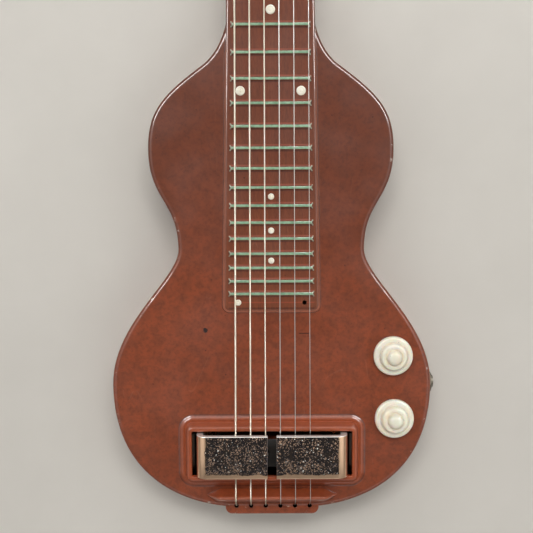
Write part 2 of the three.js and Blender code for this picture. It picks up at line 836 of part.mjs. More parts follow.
// One horseshoe magnet on the treble side: an arm above, an arm below and a bent back between them
function horseshoe() {
  const inner = magnetBendRadius - magnetThickness;
  const tip = magnetGap / 2;
  const shape = new THREE.Shape();
  shape.moveTo(tip, magnetBottomZ);
  shape.absarc(magnetReach - magnetBendRadius, magnetBottomZ + magnetBendRadius, magnetBendRadius, -Math.PI / 2, 0);
  shape.absarc(magnetReach - magnetBendRadius, magnetTopZ - magnetBendRadius, magnetBendRadius, 0, Math.PI / 2);
  shape.lineTo(tip, magnetTopZ);
  shape.lineTo(tip, magnetTopZ - magnetThickness);
  shape.absarc(magnetReach - magnetBendRadius, magnetTopZ - magnetBendRadius, inner, Math.PI / 2, 0, true);
  shape.absarc(magnetReach - magnetBendRadius, magnetBottomZ + magnetBendRadius, inner, 0, -Math.PI / 2, true);
  shape.lineTo(tip, magnetBottomZ + magnetThickness);
  shape.closePath();
  const bar = new THREE.ExtrudeGeometry(shape, { depth: magnetWidth, bevelEnabled: false, curveSegments: 3 });
  bar.rotateX(Math.PI / 2);
  bar.translate(0, pickupY + magnetWidth / 2, 0);
  return bar;
}

// The bar and its six poles, one under each string
function poleComb() {
  const centre = new THREE.Vector2(stringShift, pickupY);
  const bar = roundedRectangle(centre, combLength / 2, combWidth / 2, poleRadius, 2);
  let comb = plainBlock(bar, combBottomZ, bobbinBottomZ);
  for (let string = 0; string < stringDiameters.length; string++) {
    const x = stringX(string, pickupY);
    comb = comb.add(uprightBar(x, pickupY, poleRadius, combBottomZ + rootSink, bodyDepth + poleTopRise, 8));
  }
  return geometryOf(comb);
}

// The bobbin: a core between two flanges, bored for the poles
function pickupBobbin() {
  const centre = new THREE.Vector2(stringShift, pickupY);
  const top = bodyDepth + bobbinTopRise;
  const flange = roundedRectangle(centre, bobbinLength / 2, bobbinWidth / 2, bobbinWidth / 4, 3);
  const core = roundedRectangle(centre, coreLength / 2, coreWidth / 2, coreWidth / 2 - seatGap, 3);
  let bobbin = plainBlock(flange, bobbinBottomZ, bobbinBottomZ + bobbinFlange);
  bobbin = bobbin.add(plainBlock(flange, top - bobbinFlange, top));
  bobbin = bobbin.add(plainBlock(core, bobbinBottomZ + seatGap, top - seatGap));
  const bore = clearRadius(poleRadius, seatGap, 8);
  for (let string = 0; string < stringDiameters.length; string++) {
    const x = stringX(string, pickupY);
    bobbin = bobbin.subtract(uprightBar(x, pickupY, bore, bobbinBottomZ - overrun, top + overrun, 8));
  }
  return geometryOf(bobbin);
}

// The wound coil round the core, as the closed form of its winding
function pickupCoil() {
  const centre = new THREE.Vector2(stringShift, pickupY);
  const low = bobbinBottomZ + bobbinFlange + seatGap;
  const high = bodyDepth + bobbinTopRise - bobbinFlange - seatGap;
  const outline = (reach) => roundedRectangle(
    centre, coreLength / 2 + reach, coreWidth / 2 + reach, coreWidth / 2 - seatGap + reach, 3);
  return stacked([
    { outline: outline(windingDepth), z: low },
    { outline: outline(windingDepth), z: high },
    { outline: outline(seatGap), z: high },
    { outline: outline(seatGap), z: low },
  ], true);
}

// The steel hanger: a floor under the magnets, walls outside them and feet on the underside of the top
function pickupCradle() {
  const wall = magnetReach + cradleClearance;
  const footTop = bodyDepth - sheet;
  const half = [
    [wall + cradleThickness, magnetBottomZ - cradleThickness],
    [wall + cradleThickness, footTop - cradleThickness],
    [cradleFootHalf, footTop - cradleThickness],
    [cradleFootHalf, footTop],
    [wall, footTop],
    [wall, magnetBottomZ],
  ].map(([x, z]) => new THREE.Vector2(x, z));
  const strip = new THREE.ExtrudeGeometry(new THREE.Shape(bothSides(half)), { depth: cradleWidth, bevelEnabled: false });
  strip.rotateX(Math.PI / 2);
  strip.translate(0, pickupY + cradleWidth / 2, 0);
  return strip;
}

// A ringed knob with a domed centre, hollow below for the bushing and bored for its shaft
function knob() {
  const bore = clearRadius(shaftRadius, shaftClearance, 20);
  return turned([
    [0, knobBoreDepth],
    [bore, knobBoreDepth],
    [bore, knobHollowDepth],
    [knobHollowRadius, knobHollowDepth],
    [knobHollowRadius, 0],
    [knobRadius, 0],
    ...knobTopShares.map(([radiusShare, heightShare]) => [knobRadius * radiusShare, knobHeight * heightShare]),
    [0, knobHeight],
  ], 20);
}

// A potentiometer: a round can under the top with a threaded bushing through it
function potentiometer() {
  const bore = clearRadius(shaftRadius, shaftClearance / 2, 16);
  return turned([
    [0, potBottomZ],
    [potRadius, potBottomZ],
    [potRadius, potTopZ],
    [potBushingRadius, potTopZ],
    [potBushingRadius, bodyDepth + potBushingRise],
    [bore, bodyDepth + potBushingRise],
    [bore, potBottomZ + potFloor],
    [0, potBottomZ + potFloor],
  ], 16);
}

// The shaft that joins a knob to its potentiometer
function controlShaft() {
  const low = potBottomZ + potFloor + seatGap;
  const high = knobBaseZ + knobBoreDepth - seatGap;
  return turned([[0, low], [shaftRadius, low], [shaftRadius, high], [0, high]], 12);
}

// The tone capacitor: a waxed tube whose wires reach the backs of both potentiometers
function toneCapacitor() {
  const level = potBottomZ - capacitorDrop;
  const middleY = (volumeY + toneY) / 2;
  const wire = [
    [toneY, potBottomZ - seatGap],
    [toneY, level + capacitorRadius],
    [toneY + capacitorRadius, level],
    [middleY, level],
    [volumeY - capacitorRadius, level],
    [volumeY, level + capacitorRadius],
    [volumeY, potBottomZ - seatGap],
  ].map(([y, z]) => new THREE.Vector3(capacitorX, y, z));
  const tube = new THREE.CylinderGeometry(capacitorRadius, capacitorRadius, 2 * capacitorHalfLength, 10);
  tube.translate(capacitorX, middleY, level);
  return geometryOf(solidOf(tubeAlong(wire, thinLeadRadius, 6)).add(solidOf(tube)));
}

// The jack socket: a sleeve through the side wall with a flange inside it and a blind bore
function jackSocket() {
  const wallInner = lowerBoutHalf - sheet - jackWallSag;
  const mouth = lowerBoutHalf + jackSleeveProud;
  const bore = clearRadius(jackBoreRadius, 0, 16);
  const socket = new THREE.LatheGeometry([
    [0, mouth - jackBoreDepth],
    [bore, mouth - jackBoreDepth],
    [bore, mouth],
    [jackSleeveRadius, mouth],
    [jackSleeveRadius, wallInner],
    [jackFlangeRadius, wallInner],
    [jackFlangeRadius, wallInner - jackFlangeThickness],
    [jackBodyRadius, wallInner - jackFlangeThickness],
    [jackBodyRadius, wallInner - jackFlangeThickness - jackBodyLength],
    [0, wallInner - jackFlangeThickness - jackBodyLength],
  ].map(([radius, along]) => new THREE.Vector2(radius, along)).reverse(), 16);
  socket.rotateZ(-Math.PI / 2);
  socket.translate(0, jackY, jackZ);
  return socket;
}

// A lead that hangs a little between its ends, the first of them on the underside of a potentiometer
function hangingLead(top, end, sag) {
  const start = top.clone().setZ(top.z - leadStub);
  const points = [top];
  for (let step = 0; step <= leadSteps; step++) {
    const along = step / leadSteps;
    const point = start.clone().lerp(end, along);
    point.z -= sag * 4 * along * (1 - along);
    points.push(point);
  }
  return points;
}

// The lead from the volume control to the side of the coil
function pickupLead() {
  const side = pickupY + coreWidth / 2 + windingDepth + leadRadius + seatGap;
  const pot = new THREE.Vector3(volumeX - potRadius / 2, volumeY - potRadius * Math.SQRT1_2, potBottomZ - seatGap);
  const coil = new THREE.Vector3(bobbinLength / 4, side, (bobbinBottomZ + bodyDepth) / 2);
  return tubeAlong(hangingLead(pot, coil, leadSag), leadRadius, 6);
}

// The lead from the volume control to the end of the jack socket
function outputLead() {
  const jackEnd = lowerBoutHalf - sheet - jackWallSag - jackFlangeThickness - jackBodyLength - seatGap;
  const pot = new THREE.Vector3(volumeX, volumeY, potBottomZ - seatGap);
  const jack = new THREE.Vector3(jackEnd - leadStub, jackY, jackZ);
  const points = hangingLead(pot, jack, leadSag);
  points.push(new THREE.Vector3(jackEnd, jackY, jackZ));
  return tubeAlong(points, leadRadius, 6);
}

// The way a string takes: from its ball end up through the tab, over the ridge and the nut to its post
function stringRoute({ string, side, x, y }) {
  const radius = stringDiameters[string] / 2;
  const bridgeX = stringX(string, crestY);
  const crestZ = bodyDepth + ridgeHeight + seatGap + radius;
  const points = [
    new THREE.Vector3(bridgeX, anchorHoleY, tabUnderZ - seatGap - ballHeight / 2),
    new THREE.Vector3(bridgeX, anchorHoleY, tabTopZ + radius),
    new THREE.Vector3(bridgeX, crestY - bridgeBend, crestZ - bridgeBendDrop),
    new THREE.Vector3(bridgeX, crestY, crestZ),
    new THREE.Vector3(stringX(string, scaleLength), scaleLength - nutCrestHalf, nutStringZ),
    new THREE.Vector3(stringX(string, scaleLength), scaleLength + nutCrestHalf, nutStringZ),
  ];
  const nutPoint = points.at(-1);
  const windRadius = postWaistRadius + seatGap + radius;
  const toPost = new THREE.Vector2(x - nutPoint.x, y - nutPoint.y);
  const aim = Math.atan2(toPost.y, toPost.x);
  const spread = Math.acos(windRadius / toPost.length());
  const meets = side < 0 ? aim + Math.PI + spread : aim + Math.PI - spread;
  const steps = Math.round(windingTurns * 12);
  const pitch = 2 * radius + windingGap;
  for (let step = 0; step <= steps; step++) {
    const turn = (step / steps) * windingTurns;
    const angle = meets - side * turn * Math.PI * 2;
    points.push(new THREE.Vector3(
      x + windRadius * Math.cos(angle),
      y + windRadius * Math.sin(angle),
      headFaceZ + windingTopRise - turn * pitch,
    ));
  }
  return points;
}

// The least gap between a winding's own turns, measured on the points of its route
function leastWindingGap(points, diameter) {
  const perTurn = 12;
  const winding = points.slice(-Math.round(windingTurns * perTurn) - 1);
  let least = Infinity;
  winding.forEach((point, i) => {
    for (const other of winding.slice(i + perTurn / 2)) least = Math.min(least, point.distanceTo(other));
  });
  return least - diameter;
}

// A string with the ball that holds it under the tail tab
function stringWithBall(place) {
  const diameter = stringDiameters[place.string];
  const points = stringRoute(place);
  const gap = leastWindingGap(points, diameter).toFixed(2);
  console.log(`string ${place.string + 1}: least gap between the turns on its post ${gap} mm`);
  const { x, y, z } = points[0];
  const ball = uprightBar(x, y, ballRadius, z - ballHeight / 2, z + ballHeight / 2, 8);
  return geometryOf(solidOf(tubeAlong(points, diameter / 2, 5)).add(ball));
}

// The plate under the treble side of the head, with a pair of brackets for each worm
function tunerPlate() {
  const firstY = scaleLength + firstPostPastNut;
  const lastY = firstY + postPitch * (tunersPerSide - 1);
  const low = firstY - plateEndMargin;
  const high = lastY + wormOffsetY + plateEndMargin;
  const centre = new THREE.Vector2(postX + (plateOuter - plateInner) / 2, (low + high) / 2);
  const outline = roundedRectangle(centre, (plateInner + plateOuter) / 2, (high - low) / 2, plateCornerRadius, 3);
  let plate = plainBlock(outline, plateUnderZ, headFaceZ - sheet);
  const postHole = clearRadius(postRadius, runningClearance, 10);
  for (let place = 0; place < tunersPerSide; place++) {
    const y = firstY + place * postPitch;
    for (const inner of [innerBracket - bracketThickness, outerBracket]) {
      plate = plate.add(bracket(postX + inner, y + wormOffsetY));
    }
    plate = plate.subtract(uprightBar(postX, y, postHole, plateUnderZ - overrun, headFaceZ, 10));
  }
  return geometryOf(plate);
}

// One bracket of the plate, bent down and bored for the worm's journal
function bracket(x, y) {
  const tab = new THREE.Shape();
  tab.moveTo(bracketHalfWidth, plateUnderZ + rootSink);
  tab.lineTo(-bracketHalfWidth, plateUnderZ + rootSink);
  tab.absarc(0, wormZ, bracketHalfWidth, Math.PI, Math.PI * 2, false);
  tab.closePath();
  const hole = new THREE.Path();
  hole.absarc(0, wormZ, clearRadius(journalRadius, runningClearance, 8), 0, Math.PI * 2, true);
  tab.holes.push(hole);
  const blank = new THREE.ExtrudeGeometry(tab, { depth: bracketThickness, bevelEnabled: false, curveSegments: 4 });
  blank.rotateX(Math.PI / 2);
  blank.rotateZ(Math.PI / 2);
  blank.translate(x, y, 0);
  return solidOf(blank);
}

// A string post with its waist and eye, and the journal that its gear sits on
function tunerPost() {
  const gearTop = wormZ + gearThickness / 2;
  const gearBottom = wormZ - gearThickness / 2;
  const post = solidOf(turned([
    [0, gearBottom - postTail],
    [postJournalRadius, gearBottom - postTail],
    [postJournalRadius, gearTop + seatGap],
    [postRadius, gearTop + seatGap],
    [postRadius, headFaceZ + postWaistLow],
    [postWaistRadius, headFaceZ + postWaistLow + rootSink],
    [postWaistRadius, headFaceZ + postWaistHigh],
    [postHeadRadius, headFaceZ + postWaistHigh + rootSink],
    [postHeadRadius, headFaceZ + postRise - rootSink],
    [0, headFaceZ + postRise],
  ], 10));
  const eye = new THREE.CylinderGeometry(postEyeRadius, postEyeRadius, postHeadRadius * 4, 6);
  eye.rotateZ(Math.PI / 2);
  eye.translate(0, 0, headFaceZ + postEyeRise);
  return geometryOf(post.subtract(solidOf(eye)));
}

// A gear whose teeth lean with the worm's thread, a gap between two teeth facing the worm
function tunerGear() {
  const rootRadius = gearPitchRadius - toothDedendum;
  const tipRadius = gearPitchRadius + toothAddendum;
  const pitchAngle = (Math.PI * 2) / gearTeeth;
  const shape = new THREE.Shape();
  for (let tooth = 0; tooth < gearTeeth; tooth++) {
    const middle = Math.PI / 2 + (tooth + 0.5) * pitchAngle;
    const corners = [
      [rootRadius, -toothRootShare],
      [tipRadius, -toothTipShare],
      [tipRadius, toothTipShare],
      [rootRadius, toothRootShare],
    ];
    corners.forEach(([radius, share], corner) => {
      const angle = middle + share * pitchAngle;
      const place = [radius * Math.cos(angle), radius * Math.sin(angle)];
      if (tooth === 0 && corner === 0) shape.moveTo(...place);
      else shape.lineTo(...place);
    });
  }
  const bore = new THREE.Path();
  bore.absarc(0, 0, clearRadius(postJournalRadius, gearBoreGap, 8), 0, Math.PI * 2, true);
  shape.holes.push(bore);
  const gear = new THREE.ExtrudeGeometry(shape, { depth: gearThickness, bevelEnabled: false, curveSegments: 4 });
  gear.translate(0, 0, -gearThickness / 2);
  const lean = toothPitch / (2 * Math.PI * wormPitchRadius) / gearPitchRadius;
  const position = gear.attributes.position;
  for (let i = 0; i < position.count; i++) {
    const turn = lean * position.getZ(i);
    const x = position.getX(i);
    const y = position.getY(i);
    position.setX(i, x * Math.cos(turn) - y * Math.sin(turn));
    position.setY(i, x * Math.sin(turn) + y * Math.cos(turn));
  }
  return gear;
}

// A worm with its thread cut as one helical sweep, its two journals and the shaft out to the button
function tunerWorm() {
  const around = 8;
  const steps = wormTurns * around;
  const at = (along, radius, step) => {
    const angle = ((step % around) / around) * Math.PI * 2;
    return new THREE.Vector3(along, radius * Math.cos(angle), radius * Math.sin(angle));
  };
  const threadAt = (step) => {
    const runIn = Math.min(step, steps - step) / (around * threadRunInShare);
    const crest = wormRootRadius + (wormTipRadius - wormRootRadius) * Math.min(1, runIn);
    const start = wormStart + (step / around) * toothPitch;
    const flank = threadFlankShare * toothPitch;
    const tip = threadTipShare * toothPitch;
    return [
      at(start, wormRootRadius, step),
      at(start + flank, crest, step),
      at(start + flank + tip, crest, step),
      at(start + flank + tip + flank, wormRootRadius, step),
      at(start + toothPitch, wormRootRadius, step),
    ];
  };
  const ring = (along, radius) => {
    const points = [];
    for (let step = 0; step < around; step++) points.push(at(along, radius, step));
    return points;
  };
  const corners = [];
  const face = (...points) => {
    for (let i = 1; i < points.length - 1; i++) corners.push(points[0], points[i], points[i + 1]);
  };
  const band = (left, right) => left.forEach((point, i) => {
    const next = (i + 1) % around;
    face(point, left[next], right[next], right[i]);
  });

  const threads = [];
  for (let step = 0; step <= steps; step++) threads.push(threadAt(step));
  for (let step = 0; step < steps; step++) {
    for (let j = 0; j < threads[0].length - 1; j++) {
      face(threads[step][j], threads[step + 1][j], threads[step + 1][j + 1], threads[step][j + 1]);
    }
  }
  const left = ring(wormStart - wormLeadIn, wormRootRadius);
  for (let step = 0; step < around - 1; step++) {
    face(left[step], left[step + 1], threads[step + 1][0], threads[step][0]);
  }
  face(threads[around - 1][0], left[around - 1], left[0], ...threads[0]);
  const right = ring(wormEnd + wormLeadIn, wormRootRadius);
  const lastTurn = steps - around;
  for (let step = 1; step < around; step++) {
    const here = threads[lastTurn + step].at(-1);
    const there = threads[lastTurn + step + 1].at(-1);
    face(here, there, right[(step + 1) % around], right[step]);
  }
  face(threads[lastTurn + 1].at(-1), right[1], right[0], ...threads[steps].slice().reverse());

  const innerEnd = innerBracket - bracketThickness - journalProud;
  const leftEdge = ring(wormStart - wormLeadIn, journalRadius);
  const leftEnd = ring(innerEnd, journalRadius);
  band(leftEdge, left);
  band(leftEnd, leftEdge);
  face(...leftEnd.slice().reverse());
  const rightEdge = ring(wormEnd + wormLeadIn, journalRadius);
  const rightEnd = ring(buttonStart + buttonGrip, journalRadius);
  band(right, rightEdge);
  band(rightEdge, rightEnd);
  face(...rightEnd);
  return geometryFromCorners(corners);
}

// A flat oval button, bored for the end of the worm's shaft
function tunerButton() {
  const oval = new THREE.Shape();
  oval.absellipse(
    buttonStart + buttonLength / 2, 0, buttonLength / 2 - buttonBevel, buttonHalfWidth - buttonBevel, 0, Math.PI * 2);
  const blank = new THREE.ExtrudeGeometry(oval, {
    depth: buttonThickness - 2 * buttonBevel,
    bevelThickness: buttonBevel,
    bevelSize: buttonBevel,
    bevelSegments: 2,
    curveSegments: 7,
  });
  blank.translate(0, 0, -(buttonThickness - 2 * buttonBevel) / 2);
  const boreRadius = clearRadius(journalRadius, seatGap / 2, 10);
  const boreLength = buttonGrip + seatGap + overrun;
  const bore = new THREE.CylinderGeometry(boreRadius, boreRadius, boreLength, 10);
  bore.rotateZ(Math.PI / 2);
  bore.translate(buttonStart + buttonGrip + seatGap - boreLength / 2, 0, 0);
  return geometryOf(solidOf(blank).subtract(solidOf(bore)));
}

// Shell, back and nut
addPiece('body_shell', bodyShell(), 'enamel');
addPiece('back_plate', backPlate(), 'steel');
addPiece('string_nut', stringNut(), 'nickel');

// Position dots
for (const { name, x, y, radius } of dotPlaces()) {
  addPiece(name, dotStud(radius), 'cream').position.set(x, y, plateauTopZ);
}

// Pickup
addPiece('magnet_treble', horseshoe(), 'chrome');
addPiece('magnet_bass', mirroredInX(horseshoe()), 'chrome');
addPiece('pole_comb', poleComb(), 'steel');
addPiece('pickup_bobbin', pickupBobbin(), 'black');
addPiece('pickup_coil', pickupCoil(), 'copper');
addPiece('pickup_cradle', pickupCradle(), 'steel');

// Controls
for (const [control, x, y] of [['volume', volumeX, volumeY], ['tone', toneX, toneY]]) {
  const place = new THREE.Group();
  place.position.set(x, y, 0);
  addPiece(`${control}_pot`, potentiometer(), 'steel', place);
  addPiece(`${control}_shaft`, controlShaft(), 'brass', place);
  addPiece(`${control}_knob`, knob(), 'cream', place).position.z = knobBaseZ;
  guitar.add(place);
}
addPiece('tone_capacitor', toneCapacitor(), 'wax');
addPiece('jack_socket', jackSocket(), 'nickel');
addPiece('pickup_lead', pickupLead(), 'cloth');
addPiece('output_lead', outputLead(), 'cloth');

// Tuners and strings
addPiece('tuner_plate_treble', tunerPlate(), 'nickel');
addPiece('tuner_plate_bass', mirroredInX(tunerPlate()), 'nickel');
for (const place of tunerPlaces()) {
  const number = place.string + 1;
  const handed = (geometry) => (place.side > 0 ? geometry : mirroredInX(geometry));
  const tuner = new THREE.Group();
  tuner.position.set(place.x, place.y, 0);
  addPiece(`tuner_post_${number}`, handed(tunerPost()), 'nickel', tuner);
  addPiece(`tuner_gear_${number}`, handed(tunerGear()), 'brass', tuner).position.z = wormZ;
  addPiece(`tuner_worm_${number}`, handed(tunerWorm()), 'steel', tuner).position.set(0, wormOffsetY, wormZ);
  addPiece(`tuner_button_${number}`, handed(tunerButton()), 'cream', tuner).position.set(0, wormOffsetY, wormZ);
  guitar.add(tuner);
  addPiece(`string_${number}`, stringWithBall(place), 'steel');
}

export default guitar;
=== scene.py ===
from math import acos, atan2, cos, pi, radians, sin

import bmesh
import bpy
from mathutils import Matrix, Vector
from mathutils.geometry import interpolate_bezier


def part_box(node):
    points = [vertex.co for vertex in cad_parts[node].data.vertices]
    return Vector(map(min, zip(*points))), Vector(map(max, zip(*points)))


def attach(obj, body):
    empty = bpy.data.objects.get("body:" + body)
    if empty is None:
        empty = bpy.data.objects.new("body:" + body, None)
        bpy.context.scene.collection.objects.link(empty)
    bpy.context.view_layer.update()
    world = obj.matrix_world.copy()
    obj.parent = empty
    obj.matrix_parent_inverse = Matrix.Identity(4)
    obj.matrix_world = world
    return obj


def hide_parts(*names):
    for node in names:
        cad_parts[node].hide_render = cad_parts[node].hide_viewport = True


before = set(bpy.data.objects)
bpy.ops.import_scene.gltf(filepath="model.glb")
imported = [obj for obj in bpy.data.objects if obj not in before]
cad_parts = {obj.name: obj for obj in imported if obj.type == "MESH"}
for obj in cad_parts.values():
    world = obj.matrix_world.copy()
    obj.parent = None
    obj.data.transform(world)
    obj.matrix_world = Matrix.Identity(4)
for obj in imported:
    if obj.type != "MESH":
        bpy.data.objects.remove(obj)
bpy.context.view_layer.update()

# Body. The top and its side walls are one pressing of 1.2 mm sheet steel with a rounded rim, and the
# collar round the pickup opening is drawn up out of the same sheet. The finish is brown enamel, baked on.
mm = 0.001
sheet = 1.2
top_z = 35
rim_radius = 3.2
pickup_y = 36.8
opening_half = Vector((57.4, 16.4))
collar_reach = 10.6
volume_at = Vector((87, 106.4))
tone_at = Vector((88.2, 60.7))
jack_y = 83.4
jack_z = 17
enamel_head = (118, 60, 37)
enamel_tail = (147, 72, 42)
enamel_coat = 0.7
# Pieces are drawn in millimetres, with 0 along the strings where the scale ends at the bridge.
to_row = Matrix.Translation((0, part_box("body_shell")[0].y + 10.6 * mm, 0)) @ Matrix.Scale(mm, 4)


def tone(red, green, blue):
    """A colour as a screen shows it, as the linear light that shaders work in."""
    steps = [part / 255 for part in (red, green, blue)]
    return tuple(((s + 0.055) / 1.055) ** 2.4 if s > 0.04 else s / 12.92 for s in steps) + (1.0,)


def put(tree, kind, sockets=None, **settings):
    """Adds a shader node. Each named socket is joined to another socket or given a plain value."""
    made = tree.nodes.new("ShaderNode" + kind)
    for name, value in settings.items():
        setattr(made, name, value)
    for name, value in (sockets or {}).items():
        if isinstance(value, bpy.types.NodeSocket):
            tree.links.new(value, made.inputs[name])
        else:
            made.inputs[name].default_value = value
    return made


def mixed(tree, share, first, second, blend_type="MIX"):
    """The colour between two colours at a share from 0 to 1."""
    sockets = {0: share, 6: first, 7: second}
    return put(tree, "Mix", sockets, data_type="RGBA", blend_type=blend_type).outputs[2]


def ramped(tree, value, low, high, bottom=0.0, top=1.0):
    """A value spread smoothly from bottom to top as its source goes from low to high."""
    sockets = {"Value": value, "From Min": low, "From Max": high, "To Min": bottom, "To Max": top}
    return put(tree, "MapRange", sockets, interpolation_type="SMOOTHSTEP").outputs["Result"]


def figured(tree, operation, first, second=0.0):
    """One step of arithmetic on values."""
    return put(tree, "Math", {0: first, 1: second}, operation=operation).outputs[0]


def times(tree, first, second):
    """One value times another."""
    return figured(tree, "MULTIPLY", first, second)


def plus(tree, first, second):
    """One value added to another."""
    return figured(tree, "ADD", first, second)


def less(tree, first, second):
    """One value less another."""
    return figured(tree, "SUBTRACT", first, second)


def off_by(tree, value, level):
    """How far a value is from a level, on either side."""
    return figured(tree, "ABSOLUTE", less(tree, value, level))


def noise(tree, where, scale, detail, roughness=0.5):
    """An uneven value that changes smoothly over a surface."""
    sockets = {"Vector": where, "Scale": scale, "Detail": detail, "Roughness": roughness}
    return put(tree, "TexNoise", sockets).outputs["Fac"]


def axes(tree, where):
    """The three parts of a place."""
    return put(tree, "SeparateXYZ", {"Vector": where}).outputs


def effect_group(name, inputs, outputs):
    """An empty shader group with named sockets: its tree, its inputs and the node that puts out."""
    group = bpy.data.node_groups.new(name, "ShaderNodeTree")
    for label, kind, value in inputs:
        socket = group.interface.new_socket(name=label, in_out="INPUT", socket_type="NodeSocket" + kind)
        if value is not None:
            socket.default_value = value
    for label, kind in outputs:
        group.interface.new_socket(name=label, in_out="OUTPUT", socket_type="NodeSocket" + kind)
    entry = group.nodes.new("NodeGroupInput")
    leaving = group.nodes.new("NodeGroupOutput")
    return group, entry.outputs, leaving.inputs


def placed(tree, group, **values):
    """Places a shader group in a material; a word's underscores stand for the blanks of a socket's name."""
    node = tree.nodes.new("ShaderNodeGroup")
    node.node_tree = group
    for label, value in values.items():
        socket = node.inputs[label.replace("_", " ")]
        if isinstance(value, bpy.types.NodeSocket):
            tree.links.new(value, socket)
        else:
            socket.default_value = value
    return node.outputs


# Hairline scratches follow the level lines of a stretched noise, and specks sit in a few cells of a Voronoi.
marks, entry, leaving = effect_group(
    "fine_marks",
    [("Vector", "Vector", None), ("Scratch Scale", "Float", 30.0), ("Scratch Width", "Float", 0.004),
     ("Speck Scale", "Float", 300.0), ("Speck Size", "Float", 0.16), ("Speck Share", "Float", 0.15)],
    [("Scratches", "Float"), ("Specks", "Float")])
long_way = put(marks, "Mapping", {"Vector": entry["Vector"], "Scale": (1, 0.16, 1), "Rotation": (0, 0, 0.5)})
contour = noise(marks, long_way.outputs[0], entry["Scratch Scale"], 1.0)
line = figured(marks, "LESS_THAN", off_by(marks, contour, 0.5), entry["Scratch Width"])
broken = ramped(marks, noise(marks, entry["Vector"], 55.0, 2.0), 0.54, 0.6)
marks.links.new(times(marks, line, broken), leaving["Scratches"])
cells = put(marks, "TexVoronoi", {"Vector": entry["Vector"], "Scale": entry["Speck Scale"]})
near = figured(marks, "LESS_THAN", cells.outputs["Distance"], entry["Speck Size"])
drawn = put(marks, "SeparateColor", {"Color": cells.outputs["Color"]})
chosen = figured(marks, "LESS_THAN", drawn.outputs[0], entry["Speck Share"])
marks.links.new(times(marks, near, chosen), leaving["Specks"])

# Clouding is the slow change of tone that a sprayed or handled surface has.
clouding, entry, leaving = effect_group(
    "clouding",
    [("Vector", "Vector", None), ("Scale", "Float", 12.0), ("First", "Color", None),
     ("Second", "Color", None)],
    [("Color", "Color"), ("Share", "Float")])
share = ramped(clouding, noise(clouding, entry["Vector"], entry["Scale"], 5.0, 0.62), 0.32, 0.68)
clouding.links.new(mixed(clouding, share, entry["First"], entry["Second"]), leaving["Color"])
clouding.links.new(share, leaving["Share"])

# A chip or a dent at a known place is a soft round mask with a ragged edge.
spot, entry, leaving = effect_group(
    "spot",
    [("Vector", "Vector", None), ("Place", "Vector", None), ("Radius", "Float", 0.002),
     ("Ragged", "Float", 0.3)],
    [("Mask", "Float")])
away = put(spot, "VectorMath", {0: entry["Vector"], 1: entry["Place"]}, operation="DISTANCE")
sway = times(spot, less(spot, noise(spot, entry["Vector"], 900.0, 2.0), 0.5), entry["Ragged"])
reach = plus(spot, figured(spot, "DIVIDE", away.outputs["Value"], entry["Radius"]), sway)
spot.links.new(ramped(spot, reach, 1.15, 0.85), leaving["Mask"])


def place_on_row(x, y, z):
    """A place given in millimetres from the scale's end, in the row's metres."""
    return to_row @ Vector((x, y, z))


def new_material(name, **shader):
    """A material with its shader and the object's own coordinates."""
    material = bpy.data.materials.new(name)
    material.use_nodes = True
    tree = material.node_tree
    principled = tree.nodes["Principled BSDF"]
    for label, value in shader.items():
        principled.inputs[label.replace("_", " ")].default_value = value
    coordinates = put(tree, "TexCoord").outputs["Object"]
    return material, tree, principled, coordinates


def join_socket(tree, socket, principled, label):
    """Leads a socket into the shader."""
    tree.links.new(socket, principled.inputs[label])


def embossed(tree, shader, height, strength, distance):
    """Leads a height into the shader as relief."""
    bump = put(tree, "Bump", {"Height": height, "Strength": strength, "Distance": distance})
    join_socket(tree, bump.outputs["Normal"], shader, "Normal")


def baked_enamel(name, tail_tone, head_tone, stretch):
    """Brown baked enamel, duller towards the head: clouded, mottled, with a few hairlines and specks."""
    material, tree, shader, where = new_material(
        name, IOR=1.5, Coat_Weight=enamel_coat, Coat_Roughness=0.08, Specular_IOR_Level=0.3)
    faded = ramped(tree, axes(tree, where)["Y"], place_on_row(0, 120, 0).y, place_on_row(0, 260, 0).y)
    ground = mixed(tree, faded, tone(*tail_tone), tone(*head_tone))
    drawn_out = put(tree, "Mapping", {"Vector": where, "Scale": stretch}).outputs[0]
    cloud = placed(tree, clouding, Vector=drawn_out, Scale=16.0, First=(1.04, 1.03, 1.02, 1.0),
                   Second=(0.91, 0.91, 0.93, 1.0))
    colour = mixed(tree, 1.0, ground, cloud["Color"], "MULTIPLY")
    blotch = noise(tree, drawn_out, 150.0, 3.0)
    colour = mixed(tree, ramped(tree, blotch, 0.36, 0.64, 0.0, 0.28), colour, tone(84, 48, 34))
    grain = noise(tree, drawn_out, 420.0, 4.0, 0.7)
    colour = mixed(tree, ramped(tree, grain, 0.42, 0.7, 0.0, 0.38), colour, tone(76, 40, 30))
    worn = placed(tree, marks, Vector=where, Scratch_Scale=26.0, Scratch_Width=0.0016, Speck_Scale=210.0,
                  Speck_Size=0.12, Speck_Share=0.05)
    colour = mixed(tree, times(tree, worn["Specks"], 0.6), colour, tone(58, 30, 24))
    colour = mixed(tree, times(tree, worn["Scratches"], 0.1), colour, tone(190, 130, 104))
    return material, tree, shader, where, colour, cloud["Share"], worn


def finish_enamel(tree, shader, where, colour, share, worn, relief=None):
    """Joins colour, gloss and the orange peel of an enamelled surface to its shader."""
    join_socket(tree, colour, shader, "Base Color")
    haze = noise(tree, where, 36.0, 4.0)
    gloss = ramped(tree, haze, 0.3, 0.75, 0.34, 0.48)
    gloss = plus(tree, gloss, times(tree, worn["Scratches"], 0.05))
    join_socket(tree, gloss, shader, "Roughness")
    peel = noise(tree, where, 520.0, 2.0)
    slow_dent = noise(tree, where, 24.0, 1.0)
    height = plus(tree, times(tree, peel, 0.05), times(tree, slow_dent, 1.2))
    if relief is not None:
        height = less(tree, height, relief)
    embossed(tree, shader, height, 0.35, 0.0006)


